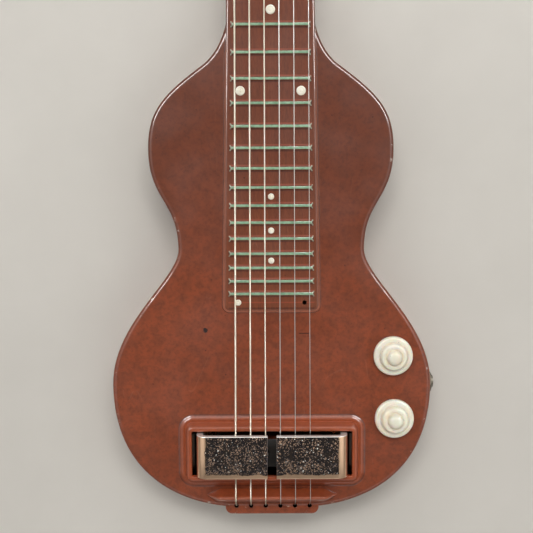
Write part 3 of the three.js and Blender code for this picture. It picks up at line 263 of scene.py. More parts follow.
body_enamel, tree, shader, where, colour, share, worn = baked_enamel(
    "brown_enamel", enamel_tail, enamel_head, (1, 1, 1))
spot_at = axes(tree, where)
height_z = spot_at["Z"]
rim_low = ramped(tree, height_z, 33.6 * mm, 34.2 * mm)
rim_high = ramped(tree, height_z, 34.95 * mm, 34.7 * mm)
rim_noise = noise(tree, where, 120.0, 6.0, 0.75)
# Painted highlight: everything raised above the top, the collar's bead and the bridge ridge, is tinted orange
# where light would fall on it.
raised_painted_highlight = ramped(tree, height_z, (top_z + 0.5) * mm, (top_z + 1.4) * mm)
colour = mixed(tree, times(tree, raised_painted_highlight, 0.3), colour, tone(200, 98, 54))
# Painted shade: a dark line lies in the crease just above the top, at the feet of the collar, the ridge and
# the tongue.
crease = times(tree, ramped(tree, height_z, (top_z + 0.02) * mm, (top_z + 0.07) * mm),
                 ramped(tree, height_z, (top_z + 0.3) * mm, (top_z + 0.2) * mm))
colour = mixed(tree, times(tree, crease, 0.6), colour, tone(58, 32, 26))
# Painted highlight: a pale line on the slope of the tongue's foot stands in for light on its rounded edge.
tongue_edge_painted_highlight = times(tree, ramped(tree, height_z, (top_z + 0.5) * mm, (top_z + 0.62) * mm),
                      ramped(tree, spot_at["Y"], place_on_row(0, 130, 0).y, place_on_row(0, 135, 0).y))
colour = mixed(tree, times(tree, tongue_edge_painted_highlight, 0.2), colour, tone(176, 132, 112))
# Pale flecks are painted at random spots along the rounded rim.
rim_pale_flecks = times(tree, times(tree, rim_low, rim_high), ramped(tree, rim_noise, 0.6, 0.66))
colour = mixed(tree, rim_pale_flecks, colour, tone(196, 176, 160))
chip = placed(tree, spot, Vector=where, Place=place_on_row(-47.4, 125, top_z), Radius=1.7 * mm,
              Ragged=1.3)["Mask"]
colour = mixed(tree, chip, colour, tone(38, 24, 22))
scratch_y = place_on_row(0, 122.5, 0).y
on_scratch = ramped(tree, off_by(tree, spot_at["Y"], scratch_y), 0.5 * mm, 0.25 * mm)
scratch_run = ramped(tree, off_by(tree, spot_at["X"], 23.5 * mm), 4.2 * mm, 3.4 * mm)
colour = mixed(tree, times(tree, times(tree, on_scratch, scratch_run), 0.8), colour,
               tone(44, 24, 20))
dent = placed(tree, spot, Vector=where, Place=place_on_row(-44.8, 150, top_z), Radius=2.0 * mm,
              Ragged=0.2)["Mask"]
finish_enamel(tree, shader, where, colour, share, worn,
              plus(tree, times(tree, chip, 0.4), times(tree, dent, 0.5)))
dulled = times(tree, ramped(tree, height_z, 30 * mm, 32 * mm), ramped(tree, height_z, 34.8 * mm, 34.3 * mm))
join_socket(tree, less(tree, enamel_coat, times(tree, dulled, 0.6)), shader, "Coat Weight")


def neck_half(y):
    """Half the width of the neck at a place along the scale."""
    return 34.4 + (27.4 - 34.4) * (y - 138.3) / (571.5 - 138.3)


def bowed(start, end, leave, meet, points):
    """Points along the bow between two stations of an outline, without the first."""
    step = end - start
    first = start + Vector((leave[0] * step.x, leave[1] * step.y))
    second = end - Vector((meet[0] * step.x, meet[1] * step.y))
    return [Vector(point[:2]) for point in interpolate_bezier(start, first, second, end, points + 1)][1:]


def blank(bm, half_outline, z):
    """A flat blank cut to an outline that is the same on both sides, as one face."""
    mirrored = [Vector((-point.x, point.y)) for point in reversed(half_outline)]
    return bm.faces.new([bm.verts.new((point.x, point.y, z)) for point in half_outline + mirrored])


def rounded_blank(bm, centre, half_x, half_y, radius, z, stages=10):
    """A flat rectangular blank with rounded corners, as one face."""
    before = set(bm.faces)
    lay = Matrix.Translation((centre[0], centre[1], z)) @ Matrix.Diagonal((half_x, half_y, 1, 1))
    corners = bmesh.ops.create_grid(bm, x_segments=1, y_segments=1, size=1, matrix=lay)["verts"]
    if radius:
        bmesh.ops.bevel(bm, geom=corners, offset=radius, segments=stages, profile=0.5, affect="VERTICES",
                        material=-1)
    return next(face for face in bm.faces if face not in before)


def grown_face(bm, face):
    """Grows walls from a face and gives the face at their far end."""
    grown = bmesh.ops.extrude_face_region(bm, geom=[face])["geom"]
    return next(part for part in grown if isinstance(part, bmesh.types.BMFace))


def thickened(bm, faces, rise):
    """Grows walls from some faces and carries the far side away by a step."""
    grown = bmesh.ops.extrude_face_region(bm, geom=faces)["geom"]
    bmesh.ops.translate(bm, vec=rise, verts=[part for part in grown if isinstance(part, bmesh.types.BMVert)])


def drawn_walls(bm, face, height):
    """Folds walls down from a blank, which ends up that much higher; the underside stays open."""
    raised = grown_face(bm, face)
    bmesh.ops.translate(bm, vec=(0, 0, height), verts=raised.verts)
    bmesh.ops.delete(bm, geom=[face], context="FACES_ONLY")
    return raised


def pressed(bm, face, stages):
    """Presses a flat face in stages: each draws its edge in and lifts it."""
    for inward, rise in stages:
        bmesh.ops.inset_region(bm, faces=[face], thickness=inward, depth=rise, use_even_offset=True,
                               use_boundary=True)
    return face


def rounding(radius, stages):
    """The stages that press a rounded edge of that radius."""
    angles = [pi / 2 * stage / stages for stage in range(stages + 1)]
    return [(radius * (cos(a) - cos(b)), radius * (sin(b) - sin(a))) for a, b in zip(angles, angles[1:])]


def stages_of(profile):
    """The stages between the points of a profile of reach and rise, from its outer foot inwards."""
    return [(a[0] - b[0], b[1] - a[1]) for a, b in zip(profile, profile[1:])]


def opened(bm, face):
    """Takes a face out and gives the edges that it leaves."""
    edges = list(face.edges)
    bmesh.ops.delete(bm, geom=[face], context="FACES_ONLY")
    return edges


def hole_edges(bm, x, y, z, radius, sides=32):
    """The edge of a punched hole."""
    ring = bmesh.ops.create_circle(bm, segments=sides, radius=radius, matrix=Matrix.Translation((x, y, z)))
    return list(dict.fromkeys(edge for vert in ring["verts"] for edge in vert.link_edges))


def filled(bm, edges):
    """Fills the flat sheet between an outer edge and the edges of everything cut or pressed in it."""
    bmesh.ops.triangle_fill(bm, edges=edges, use_beauty=True, use_dissolve=False, normal=(0, 0, 1))


def softened(bm, offset, segments=2, least=40):
    """Breaks the sharp edges of a piece."""
    sharp = [edge for edge in bm.edges if len(edge.link_faces) == 2
             and edge.calc_face_angle(0) > radians(least)]
    bmesh.ops.bevel(bm, geom=sharp, offset=offset, segments=segments, profile=0.5, affect="EDGES",
                    material=-1,
                    clamp_overlap=True)


def mesh_of(name, bm):
    """Turns a drawing into a mesh."""
    mesh = bpy.data.meshes.new(name)
    bm.to_mesh(mesh)
    bm.free()
    return mesh


def set_down(name, data):
    """Sets a new object down in the scene."""
    item = bpy.data.objects.new(name, data)
    bpy.context.scene.collection.objects.link(item)
    return item


def made_piece(name, bm, material, body="root", stands_for=(), crease=38):
    """Turns a drawing into a piece of the row: placed, smooth, sharp at its creases, riding on its body."""
    bmesh.ops.remove_doubles(bm, verts=bm.verts, dist=0.0005)
    bmesh.ops.recalc_face_normals(bm, faces=bm.faces)
    bmesh.ops.transform(bm, matrix=to_row, verts=bm.verts)
    mesh = mesh_of(name, bm)
    mesh.shade_smooth()
    mesh.set_sharp_from_angle(angle=radians(crease))
    mesh.materials.append(material)
    piece = set_down(name, mesh)
    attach(piece, body)
    if stands_for:
        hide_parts(*stands_for)
    return piece


def settled(piece, crease=38):
    """Makes a piece's modifiers part of its mesh."""
    bpy.context.view_layer.update()
    worked = bpy.data.meshes.new_from_object(piece.evaluated_get(bpy.context.evaluated_depsgraph_get()))
    raw = piece.data
    piece.modifiers.clear()
    piece.data = worked
    worked.name = piece.name
    bpy.data.meshes.remove(raw)
    worked.set_sharp_from_angle(angle=radians(crease))


def walled(piece, thickness=sheet * mm):
    """Gives a pressing the thickness of its sheet, inwards."""
    wall = piece.modifiers.new("sheet", "SOLIDIFY")
    wall.thickness = thickness
    wall.offset = -1
    wall.use_even_offset = True


def punched(piece, tools):
    """Cuts the shapes of some tools out of a piece."""
    bmesh.ops.recalc_face_normals(tools, faces=tools.faces)
    bmesh.ops.transform(tools, matrix=to_row, verts=tools.verts)
    mesh = mesh_of("tools", tools)
    cutter = set_down("tools", mesh)
    cut = piece.modifiers.new("punch", "BOOLEAN")
    cut.object = cutter
    cut.operation = "DIFFERENCE"
    cut.solver = "EXACT"
    settled(piece)
    bpy.data.objects.remove(cutter)
    bpy.data.meshes.remove(mesh)


def box_tool(bm, low, high):
    """A box-shaped tool between two corners."""
    size = [b - a for a, b in zip(low, high)]
    middle = [(a + b) / 2 for a, b in zip(low, high)]
    bmesh.ops.create_cube(bm, size=1, matrix=Matrix.Translation(middle) @ Matrix.Diagonal((*size, 1)))


def bar_tool(bm, centre, radius, length, direction="Z", sides=32):
    """A round tool about a centre, along one of the three directions."""
    turn = {"X": Matrix.Rotation(pi / 2, 4, "Y"), "Y": Matrix.Rotation(pi / 2, 4, "X"),
            "Z": Matrix()}[direction]
    bmesh.ops.create_cone(bm, cap_ends=True, segments=sides, radius1=radius, radius2=radius, depth=length,
                          matrix=Matrix.Translation(centre) @ turn)


stations = [Vector(place) for place in (
    (20, -6.4), (114.8, 85), (66.3, 183), (86.9, 253.4), (47.8, 312.8), (neck_half(347) - 0.5, 347))]
bows = (
    ((0.455, 0), (0, 0.767), 34),
    ((0, 0.458), (0, 0.216), 26),
    ((0, 0.487), (0, 0.498), 18),
    ((0, 0.471), (0.723, 0.349), 22),
    ((0.727, 0.27), (0, 0.197), 14),
)
body_side = [stations[0]]
for start, end, (leave, meet, points) in zip(stations, stations[1:], bows):
    body_side += bowed(start, end, leave, meet, points)
body_side.append(Vector((neck_half(361) - 0.5, 361)))
collar_profile = (
    (10.6, 0), (10.2, 0.05), (9.7, 0.22), (9.2, 0.5), (8.8, 0.8), (8.3, 1.22), (7.8, 1.58), (7.2, 1.8),
    (6.6, 1.86), (6.0, 1.8), (5.5, 1.62), (5.15, 1.6), (4.9, 1.85), (4.72, 2.6), (4.5, 4), (4.1, 6),
    (3.75, 8), (3.5, 8.9), (3.1, 9.5), (2.6, 9.85), (2.1, 10), (1.2, 10), (0.6, 9.95), (0.25, 9.75),
    (0.06, 9.4), (0, 9), (0, 6.2),
)
pan = bmesh.new()
raised = drawn_walls(pan, blank(pan, body_side, 0), top_z - rim_radius)
cut_edges = opened(pan, pressed(pan, raised, rounding(rim_radius, 7) + [(1.2, 0)]))
half_x, half_y = opening_half
collar_face = rounded_blank(pan, (0, pickup_y), half_x + collar_reach, half_y + collar_reach,
                            0.8 + collar_reach, top_z, 12)
cut_edges += list(collar_face.edges)
for place in (volume_at, tone_at):
    cut_edges += hole_edges(pan, place.x, place.y, top_z, 4.9)
filled(pan, cut_edges)
opened(pan, pressed(pan, collar_face, stages_of(collar_profile)))
body_pan = made_piece("body_pan", pan, body_enamel, stands_for=["body_shell"])
walled(body_pan)
string_count = 6
string_shift = 0.7
crest_y = 4.8
anchor_y = -4.8


def string_x(string, y):
    """Where a string lies across the instrument; the spread narrows from bridge to nut."""
    spread = 53.4 + (48.6 - 53.4) * (y - crest_y) / (571.5 - crest_y)
    return string_shift + spread * (string / (string_count - 1) - 0.5)


tools = bmesh.new()
bar_tool(tools, (114.3, jack_y, jack_z), 5, 14, "X")
box_tool(tools, (-31.6, -14, 14), (31.6, 1, 33.55))
punched(body_pan, tools)
tools = bmesh.new()
for string in range(string_count):
    bar_tool(tools, (string_x(string, crest_y), anchor_y, top_z - 1), 1.65, 5, sides=24)
punched(body_pan, tools)

# Tail recess. Behind the string tab the wall is cut away, and a pressed pocket closes the hole, so that
# the balls of the strings have room below the tab.
pocket = bmesh.new()
box_tool(pocket, (-31.6, -5.8, 14), (31.6, 1, 33.9))
bmesh.ops.delete(pocket, geom=[face for face in pocket.faces if face.normal.y < -0.9 or face.normal.z > 0.9],
                 context="FACES_ONLY")
bmesh.ops.reverse_faces(pocket, faces=pocket.faces)
bmesh.ops.transform(pocket, matrix=to_row, verts=pocket.verts)
pocket_mesh = mesh_of("tail_pocket", pocket)
pocket_mesh.materials.append(body_enamel)
tail_pocket = set_down("tail_pocket", pocket_mesh)
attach(tail_pocket, "root")

# Bridge ridge. The strings pass over a ridge pressed up across the tail, steep in front and sloping behind,
# which runs out at both ends.
ridge_section = (
    (4.9, -0.5), (4.3, 0.06), (3.8, 0.4), (3.3, 1.3), (2.7, 3.2), (2.1, 6), (1.6, 8.6), (1.2, 10),
    (0.8, 10.95), (0.4, 11.45), (0, 11.6), (-0.5, 11.5), (-1.1, 11.05), (-1.9, 9.9), (-3, 7.7), (-4.3, 4.8),
    (-5.4, 2.4), (-6.2, 1.0), (-6.9, 0.25), (-7.6, -0.5),
)
ridge_ends = ((0, 1), (0.08, 0.985), (0.2, 0.91), (0.42, 0.7), (0.6, 0.51), (0.75, 0.34), (0.88, 0.19),
              (0.96, 0.09), (1, 0.03))
ridge_full, ridge_tip, ridge_tip_back = 36.8, 47.2, 0.8
ridge = bmesh.new()
side_of = [(-ridge_full - (ridge_tip - ridge_full) * out, size, out) for out, size in reversed(ridge_ends)]
ridge_stations = side_of + [(-x, size, out) for x, size, out in reversed(side_of)]
x, size, out = ridge_stations[0]
ring = [ridge.verts.new((x, crest_y - ridge_tip_back * out + run * size, top_z + rise * size))
        for run, rise in ridge_section]
edges = [ridge.edges.new(pair) for pair in zip(ring, ring[1:] + ring[:1])]
for (old_x, old_size, old_out), (x, size, out) in zip(ridge_stations, ridge_stations[1:]):
    grown = bmesh.ops.extrude_edge_only(ridge, edges=edges)["geom"]
    ring = [part for part in grown if isinstance(part, bmesh.types.BMVert)]
    edges = [part for part in grown if isinstance(part, bmesh.types.BMEdge)]
    foot = Matrix.Translation((0, ridge_tip_back * old_out - crest_y, -top_z))
    bmesh.ops.scale(ridge, vec=(1, size / old_size, size / old_size), space=foot, verts=ring)
    bmesh.ops.translate(ridge, vec=(x - old_x, ridge_tip_back * (old_out - out), 0), verts=ring)
bmesh.ops.holes_fill(ridge, edges=ridge.edges, sides=0)
made_piece("bridge_ridge", ridge, body_enamel)

# Tail tab. A tongue of the same sheet stands out level with the top, with a hole for each string.
tab_half = 33.9
tab_end, tab_root = -10.6, 6
tab_z = top_z - 0.25
tab = bmesh.new()
tab_face = rounded_blank(tab, (0, (tab_end + tab_root) / 2), tab_half, (tab_root - tab_end) / 2, 5, tab_z)
edges = opened(tab, tab_face)
for string in range(string_count):
    edges += hole_edges(tab, string_x(string, crest_y), anchor_y, tab_z, 1.6, 24)
filled(tab, edges)
thickened(tab, list(tab.faces), (0, 0, -sheet))
bmesh.ops.recalc_face_normals(tab, faces=tab.faces)
softened(tab, 0.3, 3, 60)
made_piece("tail_tab", tab, body_enamel)

# Fretboard and neck. One raised tongue of the pressing, 1.2 mm above the body, becomes the neck. Its frets
# are ridges pressed up in the sheet, and their crests are painted green.
board_z = 36.2
scale_length = 571.5
neck_end = 580
board_start = 138.3
fret_count = 23
fret_stages = ((0.3, 0.05), (0.3, 0.26), (0.4, 0.45), (0.3, 0.3), (0.2, 0.18), (0.15, 0.06))
hip_stretch = -0.2
ridge_at_start, ridge_at_nut = 31, 24.5
pair_x, pair_past_fret = 23.7, 6.4
board_head = (128, 68, 44)
board_tail = (138, 73, 44)
fret_green = (154, 188, 154)


def fret_y(fret):
    """How far a fret lies from the end of the scale."""
    return scale_length * 2 ** (-fret / 12)


def face_at(bm, x, y, z):
    """The flat face at a height that holds a place."""
    for face in bm.faces:
        if all(abs(vert.co.z - z) < 0.001 for vert in face.verts) and bmesh.geometry.intersect_face_point(
                face, Vector((x, y, z))):
            return face


def lined(bm, face, place, facing, kept):
    """Draws a line across a flat face and gives the part of it that holds the place to keep."""
    z = face.verts[0].co.z
    bmesh.ops.bisect_plane(bm, geom=[face] + list(face.edges) + list(face.verts), dist=0.0001, plane_co=place,
                           plane_no=facing)
    return face_at(bm, *kept, z)


board_enamel, tree, shader, where, colour, share, worn = baked_enamel(
    "fretboard_enamel", board_tail, board_head, (5, 0.7, 1))
spot_at = axes(tree, where)
ragged = noise(tree, where, 700.0, 2.0)
sway = times(tree, less(tree, ragged, 0.5), 0.3 * mm)
painted_from = plus(tree, sway, spot_at["Z"])
crest_mask = ramped(tree, painted_from, (board_z + 1.13) * mm, (board_z + 1.22) * mm)
thin_paint = noise(tree, where, 340.0, 4.0)
paint = mixed(tree, ramped(tree, thin_paint, 0.35, 0.75), tone(*fret_green), tone(124, 160, 128))
# Painted shade: the tongue's flanks below the top's level, inside the body, are darkened where the tongue
# meets the top.
foot = times(tree, ramped(tree, spot_at["Z"], 35.6 * mm, 35.3 * mm),
               ramped(tree, spot_at["Y"], place_on_row(0, 350, 0).y, place_on_row(0, 342, 0).y))
colour = mixed(tree, times(tree, foot, 0.8), colour, tone(52, 28, 22))
# Paint also clings to the two creases where a ridge runs out at each end, and the end is darker between them.
scale_end = place_on_row(0, 0, 0).y
octaves = figured(tree, "LOGARITHM", figured(tree, "DIVIDE", scale_length * mm, figured(
    tree, "SUBTRACT", spot_at["Y"], scale_end)), 2.0)
number = figured(tree, "ROUND", times(tree, octaves, 12.0))
ridge_line = times(tree, figured(tree, "POWER", 2.0, figured(tree, "DIVIDE", number, -12.0)),
                     scale_length * mm)
ridge_half = put(tree, "MapRange", {"Value": ridge_line, "From Min": board_start * mm,
                                    "From Max": scale_length * mm,
                                    "To Min": ridge_at_start * mm,
                                    "To Max": ridge_at_nut * mm}).outputs["Result"]
ridge_line = plus(tree, ridge_line, scale_end)
beside = off_by(tree, spot_at["Y"], ridge_line)
from_end = less(tree, ridge_half, figured(tree, "ABSOLUTE", spot_at["X"]))
on_ridge = ramped(tree, spot_at["Z"], (board_z + 0.01) * mm, (board_z + 0.06) * mm)
across_crease = plus(tree, beside, times(tree, from_end, 1.25))
off_crease = plus(tree, sway, off_by(tree, across_crease, 2.3 * mm))
end_run = times(tree, on_ridge, ramped(tree, from_end, 2.0 * mm, 1.7 * mm))
between = times(tree, end_run, ramped(tree, across_crease, 1.9 * mm, 1.4 * mm))
colour = mixed(tree, times(tree, between, ramped(tree, thin_paint, 0.4, 0.6)), colour, tone(48, 26, 20))
headwards = less(tree, spot_at["Y"], ridge_line)
within = ramped(tree, from_end, -0.2 * mm, 0.6 * mm)
# Painted highlight: a reddish line on the head side of each fret's foot, where light falls on the slope that
# faces the head.
fret_foot_painted_highlight = times(tree, ramped(tree, headwards, 1.5 * mm, 1.9 * mm),
                    ramped(tree, headwards, 2.9 * mm, 2.4 * mm))
colour = mixed(tree, times(tree, times(tree, fret_foot_painted_highlight, within), 0.5), colour,
               tone(172, 82, 58))
# Painted shade: a dark line on the tail side of each fret's foot, where its slope lies in shade.
fret_foot_painted_shade = times(tree, ramped(tree, headwards, -2.9 * mm, -2.3 * mm),
                   ramped(tree, headwards, -1.2 * mm, -1.6 * mm))
colour = mixed(tree, times(tree, times(tree, fret_foot_painted_shade, within), 0.5), colour,
               tone(62, 32, 26))
colour = mixed(tree, crest_mask, colour, paint)
prong = times(tree, end_run, ramped(tree, off_crease, 1.0 * mm, 0.6 * mm))
colour = mixed(tree, times(tree, prong, ramped(tree, thin_paint, 0.3, 0.6, 0.35, 0.8)), colour,
               tone(186, 190, 166))
finish_enamel(tree, shader, where, colour, share, worn)

board = bmesh.new()
corners = [board.verts.new(place) for place in (
    (neck_half(board_start), board_start, 0), (neck_half(neck_end), neck_end, 0),
    (-neck_half(neck_end), neck_end, 0), (-neck_half(board_start), board_start, 0))]
board.faces.new(corners)
bmesh.ops.bevel(board, geom=[corners[0], corners[3]], offset=5, segments=10, profile=0.5, affect="VERTICES",
                material=-1)
board.faces.ensure_lookup_table()
flat = pressed(board, drawn_walls(board, board.faces[0], board_z - 2), rounding(2, 6) + [(0.5, 0)])
for fret in range(1, fret_count + 1):
    y = fret_y(fret)
    half = ridge_at_start + (ridge_at_nut - ridge_at_start) * (y - board_start) / (scale_length - board_start)
    for place, facing in (((0, y - 2.3, 0), (0, 1, 0)), ((0, y + 2.3, 0), (0, 1, 0)),
                          ((half, y, 0), (1, 0, 0)), ((-half, y, 0), (1, 0, 0))):
        flat = lined(board, flat, place, facing, (0, y))
    ridge_face = flat
    for inward, rise in fret_stages:
        pressed(board, ridge_face, [(inward, rise)])
        reach = max(vert.co.x for vert in ridge_face.verts)
        bmesh.ops.scale(board, vec=((reach - hip_stretch * inward) / reach, 1, 1), verts=ridge_face.verts)
    flat = face_at(board, 0, y - 3.5, board_z)
neck_and_board = made_piece("neck_and_fretboard", board, board_enamel)
walled(neck_and_board)
for piece in (neck_and_board, body_pan):
    tools = bmesh.new()
    bar_tool(tools, (pair_x, fret_y(fret_count) - pair_past_fret, board_z), 1.6, 6, sides=24)
    punched(piece, tools)

# The foot of the tongue flares out into the flat top in a small hollow curve, whose crease is painted dark as
# shade.
foot_side = [Vector((neck_half(y) + 1.3 * min(1, (334 - y) / 16), y)) for y in range(146, 335, 4)]
foot = bmesh.new()
corner = Vector((neck_half(board_start) + 1.3, board_start - 1.3))
foot_half = [corner + Vector((6.3 * cos(a) - 6.3, 6.3 + 6.3 * sin(a))) for a in
             (radians(angle) for angle in range(-90, 1, 9))]
opened(foot, pressed(foot, blank(foot, foot_half + foot_side, top_z - 0.05),
                     [(0.3, 0.06), (0.3, 0.12), (0.25, 0.2), (0.2, 0.28), (0.12, 0.3), (1.6, 0)]))
made_piece("tongue_foot", foot, body_enamel)

# Head. The sheet drops behind the nut into a shallow tray, open below, punched for the six posts and
# slotted in its flanges for the six worm shafts.
head_z = 30
head_bottom = 16
post_x = 25
first_post = scale_length + 42
post_pitch = 38
worm_z = 23.3
worm_ahead = 8.7385
flange_x, shaft_slot = 36.5, 3.6
head_flare = Vector((39, neck_end + 26))
head_corner = Vector((34, 728))
head_tip = Vector((14, 743.5))
head_root = Vector((neck_half(neck_end) - 0.5, neck_end))
tuners = []
for place in range(3):
    tuners.append((place, -1, -post_x, first_post + place * post_pitch))
    tuners.append((5 - place, 1, post_x, first_post + place * post_pitch))
tuners.sort()
head_side = [Vector((head_root.x, neck_end - 4)), head_root]
head_side += bowed(head_root, head_flare, (0, 0.45), (0, 0.5), 12)
head_side += [head_corner] + bowed(head_corner, head_tip, (0.02, 0.7), (0.6, 0), 10)
tray = bmesh.new()
raised = drawn_walls(tray, blank(tray, head_side, head_bottom), head_z - 2.5 - head_bottom)
cut_edges = opened(tray, pressed(tray, raised, rounding(2.5, 6) + [(0.6, 0)]))
for string, side, x, y in tuners:
    cut_edges += hole_edges(tray, x, y, head_z, 3.6)
filled(tray, cut_edges)
head = made_piece("head_tray", tray, body_enamel)
walled(head)
tools = bmesh.new()
for string, side, x, y in tuners:
    bar_tool(tools, (side * flange_x, y + worm_ahead, worm_z), shaft_slot, 16, "X")
punched(head, tools)
tools = bmesh.new()
for string, side, x, y in tuners:
    box_tool(tools, (side * flange_x - 8, y + worm_ahead - shaft_slot, head_bottom - 4),
             (side * flange_x + 8, y + worm_ahead + shaft_slot, worm_z))
punched(head, tools)

# Back. A flat plate of bare sheet steel lies inside the walls and is held by slotted screws round its edge.
plate_gap = 1.5
plate_under = 0.4
metal = {"Metallic": 1.0, "IOR": 2.5}
bare_steel, tree, shader, where = new_material("bare_steel", **metal)
cloud = placed(tree, clouding, Vector=where, Scale=22.0, First=tone(150, 148, 144),
               Second=tone(116, 112, 106))
worn = placed(tree, marks, Vector=where, Scratch_Scale=44.0, Scratch_Width=0.005, Speck_Scale=260.0,
              Speck_Size=0.2, Speck_Share=0.2)
colour = mixed(tree, times(tree, worn["Specks"], 0.7), cloud["Color"], tone(98, 66, 44))
colour = mixed(tree, times(tree, worn["Scratches"], 0.4), colour, tone(205, 204, 200))
join_socket(tree, colour, shader, "Base Color")
brushed = put(tree, "Mapping", {"Vector": where, "Scale": (60, 1.5, 60)}).outputs[0]
strokes = noise(tree, brushed, 14.0, 4.0)
join_socket(tree, ramped(tree, strokes, 0.3, 0.7, 0.34, 0.52), shader, "Roughness")
embossed(tree, shader, strokes, 0.15, 0.0002)

back_side = [point for point in body_side if point.y < 300 or point.x > neck_half(point.y)]
back_side.append(Vector((neck_half(neck_end), neck_end)))
back = bmesh.new()
plate_face = pressed(back, blank(back, back_side, plate_under), [(plate_gap, 0)])
bmesh.ops.delete(back, geom=[face for face in back.faces if face is not plate_face], context="FACES")
screw_line = pressed(back, plate_face, [(6.0, 0)])
screw_places = [vert.co.copy() for vert in screw_line.verts]
thickened(back, list(back.faces), (0, 0, sheet - plate_under))
bmesh.ops.recalc_face_normals(back, faces=back.faces)
softened(back, 0.2, 2, 60)
made_piece("back_cover", back, bare_steel, stands_for=["back_plate"])


def slotted_screw(bm, place, radius, height, turn=0.0):
    """A slotted screw head whose crown faces the given way."""
    fresh = set(bm.verts)
    fresh_faces = set(bm.faces)
    profile = ((0, height), (radius * 0.45, height * 0.94), (radius * 0.8, height * 0.7),
               (radius, height * 0.2),
               (radius, 0), (0, 0))
    verts = [bm.verts.new((r, 0, z)) for r, z in profile]
    edges = [bm.edges.new(pair) for pair in zip(verts, verts[1:])]
    bmesh.ops.spin(bm, geom=verts + edges, axis=(0, 0, 1), cent=(0, 0, 0), angle=2 * pi, steps=20,
                   use_merge=True)
    head_verts = [vert for vert in bm.verts if vert not in fresh]
    bmesh.ops.remove_doubles(bm, verts=head_verts, dist=0.0005)
    for side in (-1, 1):
        part = [vert for vert in bm.verts if vert not in fresh]
        parts = part + list(dict.fromkeys(edge for vert in part for edge in vert.link_edges))
        parts += [face for face in bm.faces if face not in fresh_faces]
        bmesh.ops.bisect_plane(bm, geom=parts, plane_co=(side * radius * 0.16, 0, 0), plane_no=(1, 0, 0),
                               dist=0.0001)
    strip = [face for face in bm.faces if face not in fresh_faces
             and abs(face.calc_center_median().x) < radius * 0.15
             and face.calc_center_median().z > height * 0.3]
    thickened(bm, strip, (0, 0, -height * 0.55))
    bmesh.ops.transform(bm, matrix=place @ Matrix.Rotation(turn, 4, "Z"),
                        verts=[vert for vert in bm.verts if vert not in fresh])


def clouded_finish(name, scale, light, dark, gloss, relief, specks=None, **base):
    """A finish clouded in two tones, glossier in one than in the other, with specks where it has them."""
    material, tree, shader, where = new_material(name, **base)
    cloud = placed(tree, clouding, Vector=where, Scale=scale, First=tone(*light), Second=tone(*dark))
    colour = cloud["Color"]
    if specks:
        speck_scale, size, share, strength, speck_tone = specks
        worn = placed(tree, marks, Vector=where, Speck_Scale=speck_scale, Speck_Size=size, Speck_Share=share)
        colour = mixed(tree, times(tree, worn["Specks"], strength), colour, tone(*speck_tone))
    join_socket(tree, colour, shader, "Base Color")
    join_socket(tree, ramped(tree, cloud["Share"], 0.0, 1.0, *gloss), shader, "Roughness")
    embossed(tree, shader, cloud["Share"], *relief)
    return material


screw_steel = clouded_finish("screw_steel", 160.0, (172, 168, 158), (120, 112, 100), (0.24, 0.44),
                             (0.2, 0.0001),
                             (900.0, 0.25, 0.3, 0.6, (84, 58, 40)), **metal)

screws = bmesh.new()
spacing, travelled = 58, 29
downwards = Matrix.Rotation(pi, 4, "X")
for before, here in zip(screw_places, screw_places[1:] + screw_places[:1]):
    step = (here - before).length
    while travelled < step:
        place = before.lerp(here, travelled / step)
        slotted_screw(screws, Matrix.Translation((place.x, place.y, plate_under + 0.02)) @ downwards, 2.4,
                      plate_under, 0.7 * place.y)
        travelled += spacing
    travelled -= step
made_piece("back_screws", screws, screw_steel, crease=30)

# Nut. A tall bar of plated steel stands behind the first fret, slotted for each string.
nickel, tree, shader, where = new_material("nickel_plate", **metal)
cloud = placed(tree, clouding, Vector=where, Scale=70.0, First=tone(196, 190, 176),
               Second=tone(160, 152, 134))
worn = placed(tree, marks, Vector=where, Scratch_Scale=90.0, Scratch_Width=0.006, Speck_Scale=620.0,
              Speck_Size=0.22, Speck_Share=0.2)
colour = mixed(tree, times(tree, worn["Specks"], 0.6), cloud["Color"], tone(104, 84, 60))
join_socket(tree, mixed(tree, times(tree, worn["Scratches"], 0.5), colour, tone(226, 222, 214)),
            shader, "Base Color")
join_socket(tree, ramped(tree, cloud["Share"], 0.0, 1.0, 0.16, 0.34), shader, "Roughness")
embossed(tree, shader, worn["Specks"], 0.3, 0.0001)


def dressed(node, material, edge=0.0):
    """Gives a CAD node its finish, and breaks its sharp edges if a width is given."""
    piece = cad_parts[node]
    for slot in piece.material_slots:
        slot.material = material
    if edge:
        weld = piece.modifiers.new("weld", "WELD")
        weld.merge_threshold = 0.00001
        bevel = piece.modifiers.new("edges", "BEVEL")
        bevel.width = edge * mm
        bevel.segments = 2
        bevel.limit_method = "ANGLE"
        bevel.angle_limit = radians(40)
        bevel.harden_normals = True


dressed("string_nut", nickel, 0.25)

# Position studs. Small cream studs are pressed into holes in the fretboard: a pair at the octave, one of a
# pair beyond the last fret, whose twin is lost, and single ones at the other marks.
stud_cream = clouded_finish("stud_cream", 160.0, (252, 248, 232), (244, 236, 212), (0.28, 0.44),
                            (0.2, 0.0002),
                            (900.0, 0.2, 0.2, 0.6, (150, 120, 84)), IOR=1.5)


def turned(bm, profile, place, steps=48):
    """Turns a profile of radius and height about an axis, and sets it in place."""
    standing = set(bm.verts)
    verts = [bm.verts.new((radius, 0, z)) for radius, z in profile]
    edges = [bm.edges.new(pair) for pair in zip(verts, verts[1:])]
    bmesh.ops.spin(bm, geom=verts + edges, axis=(0, 0, 1), cent=(0, 0, 0), angle=2 * pi, steps=steps,
                   use_merge=True)
    bmesh.ops.remove_doubles(bm, verts=[vert for vert in bm.verts if vert not in standing], dist=0.0005)
    bmesh.ops.transform(bm, matrix=place, verts=[vert for vert in bm.verts if vert not in standing])


def between_frets(fret):
    """The middle of the space that belongs to a fret."""
    return (fret_y(fret - 1) + fret_y(fret)) / 2


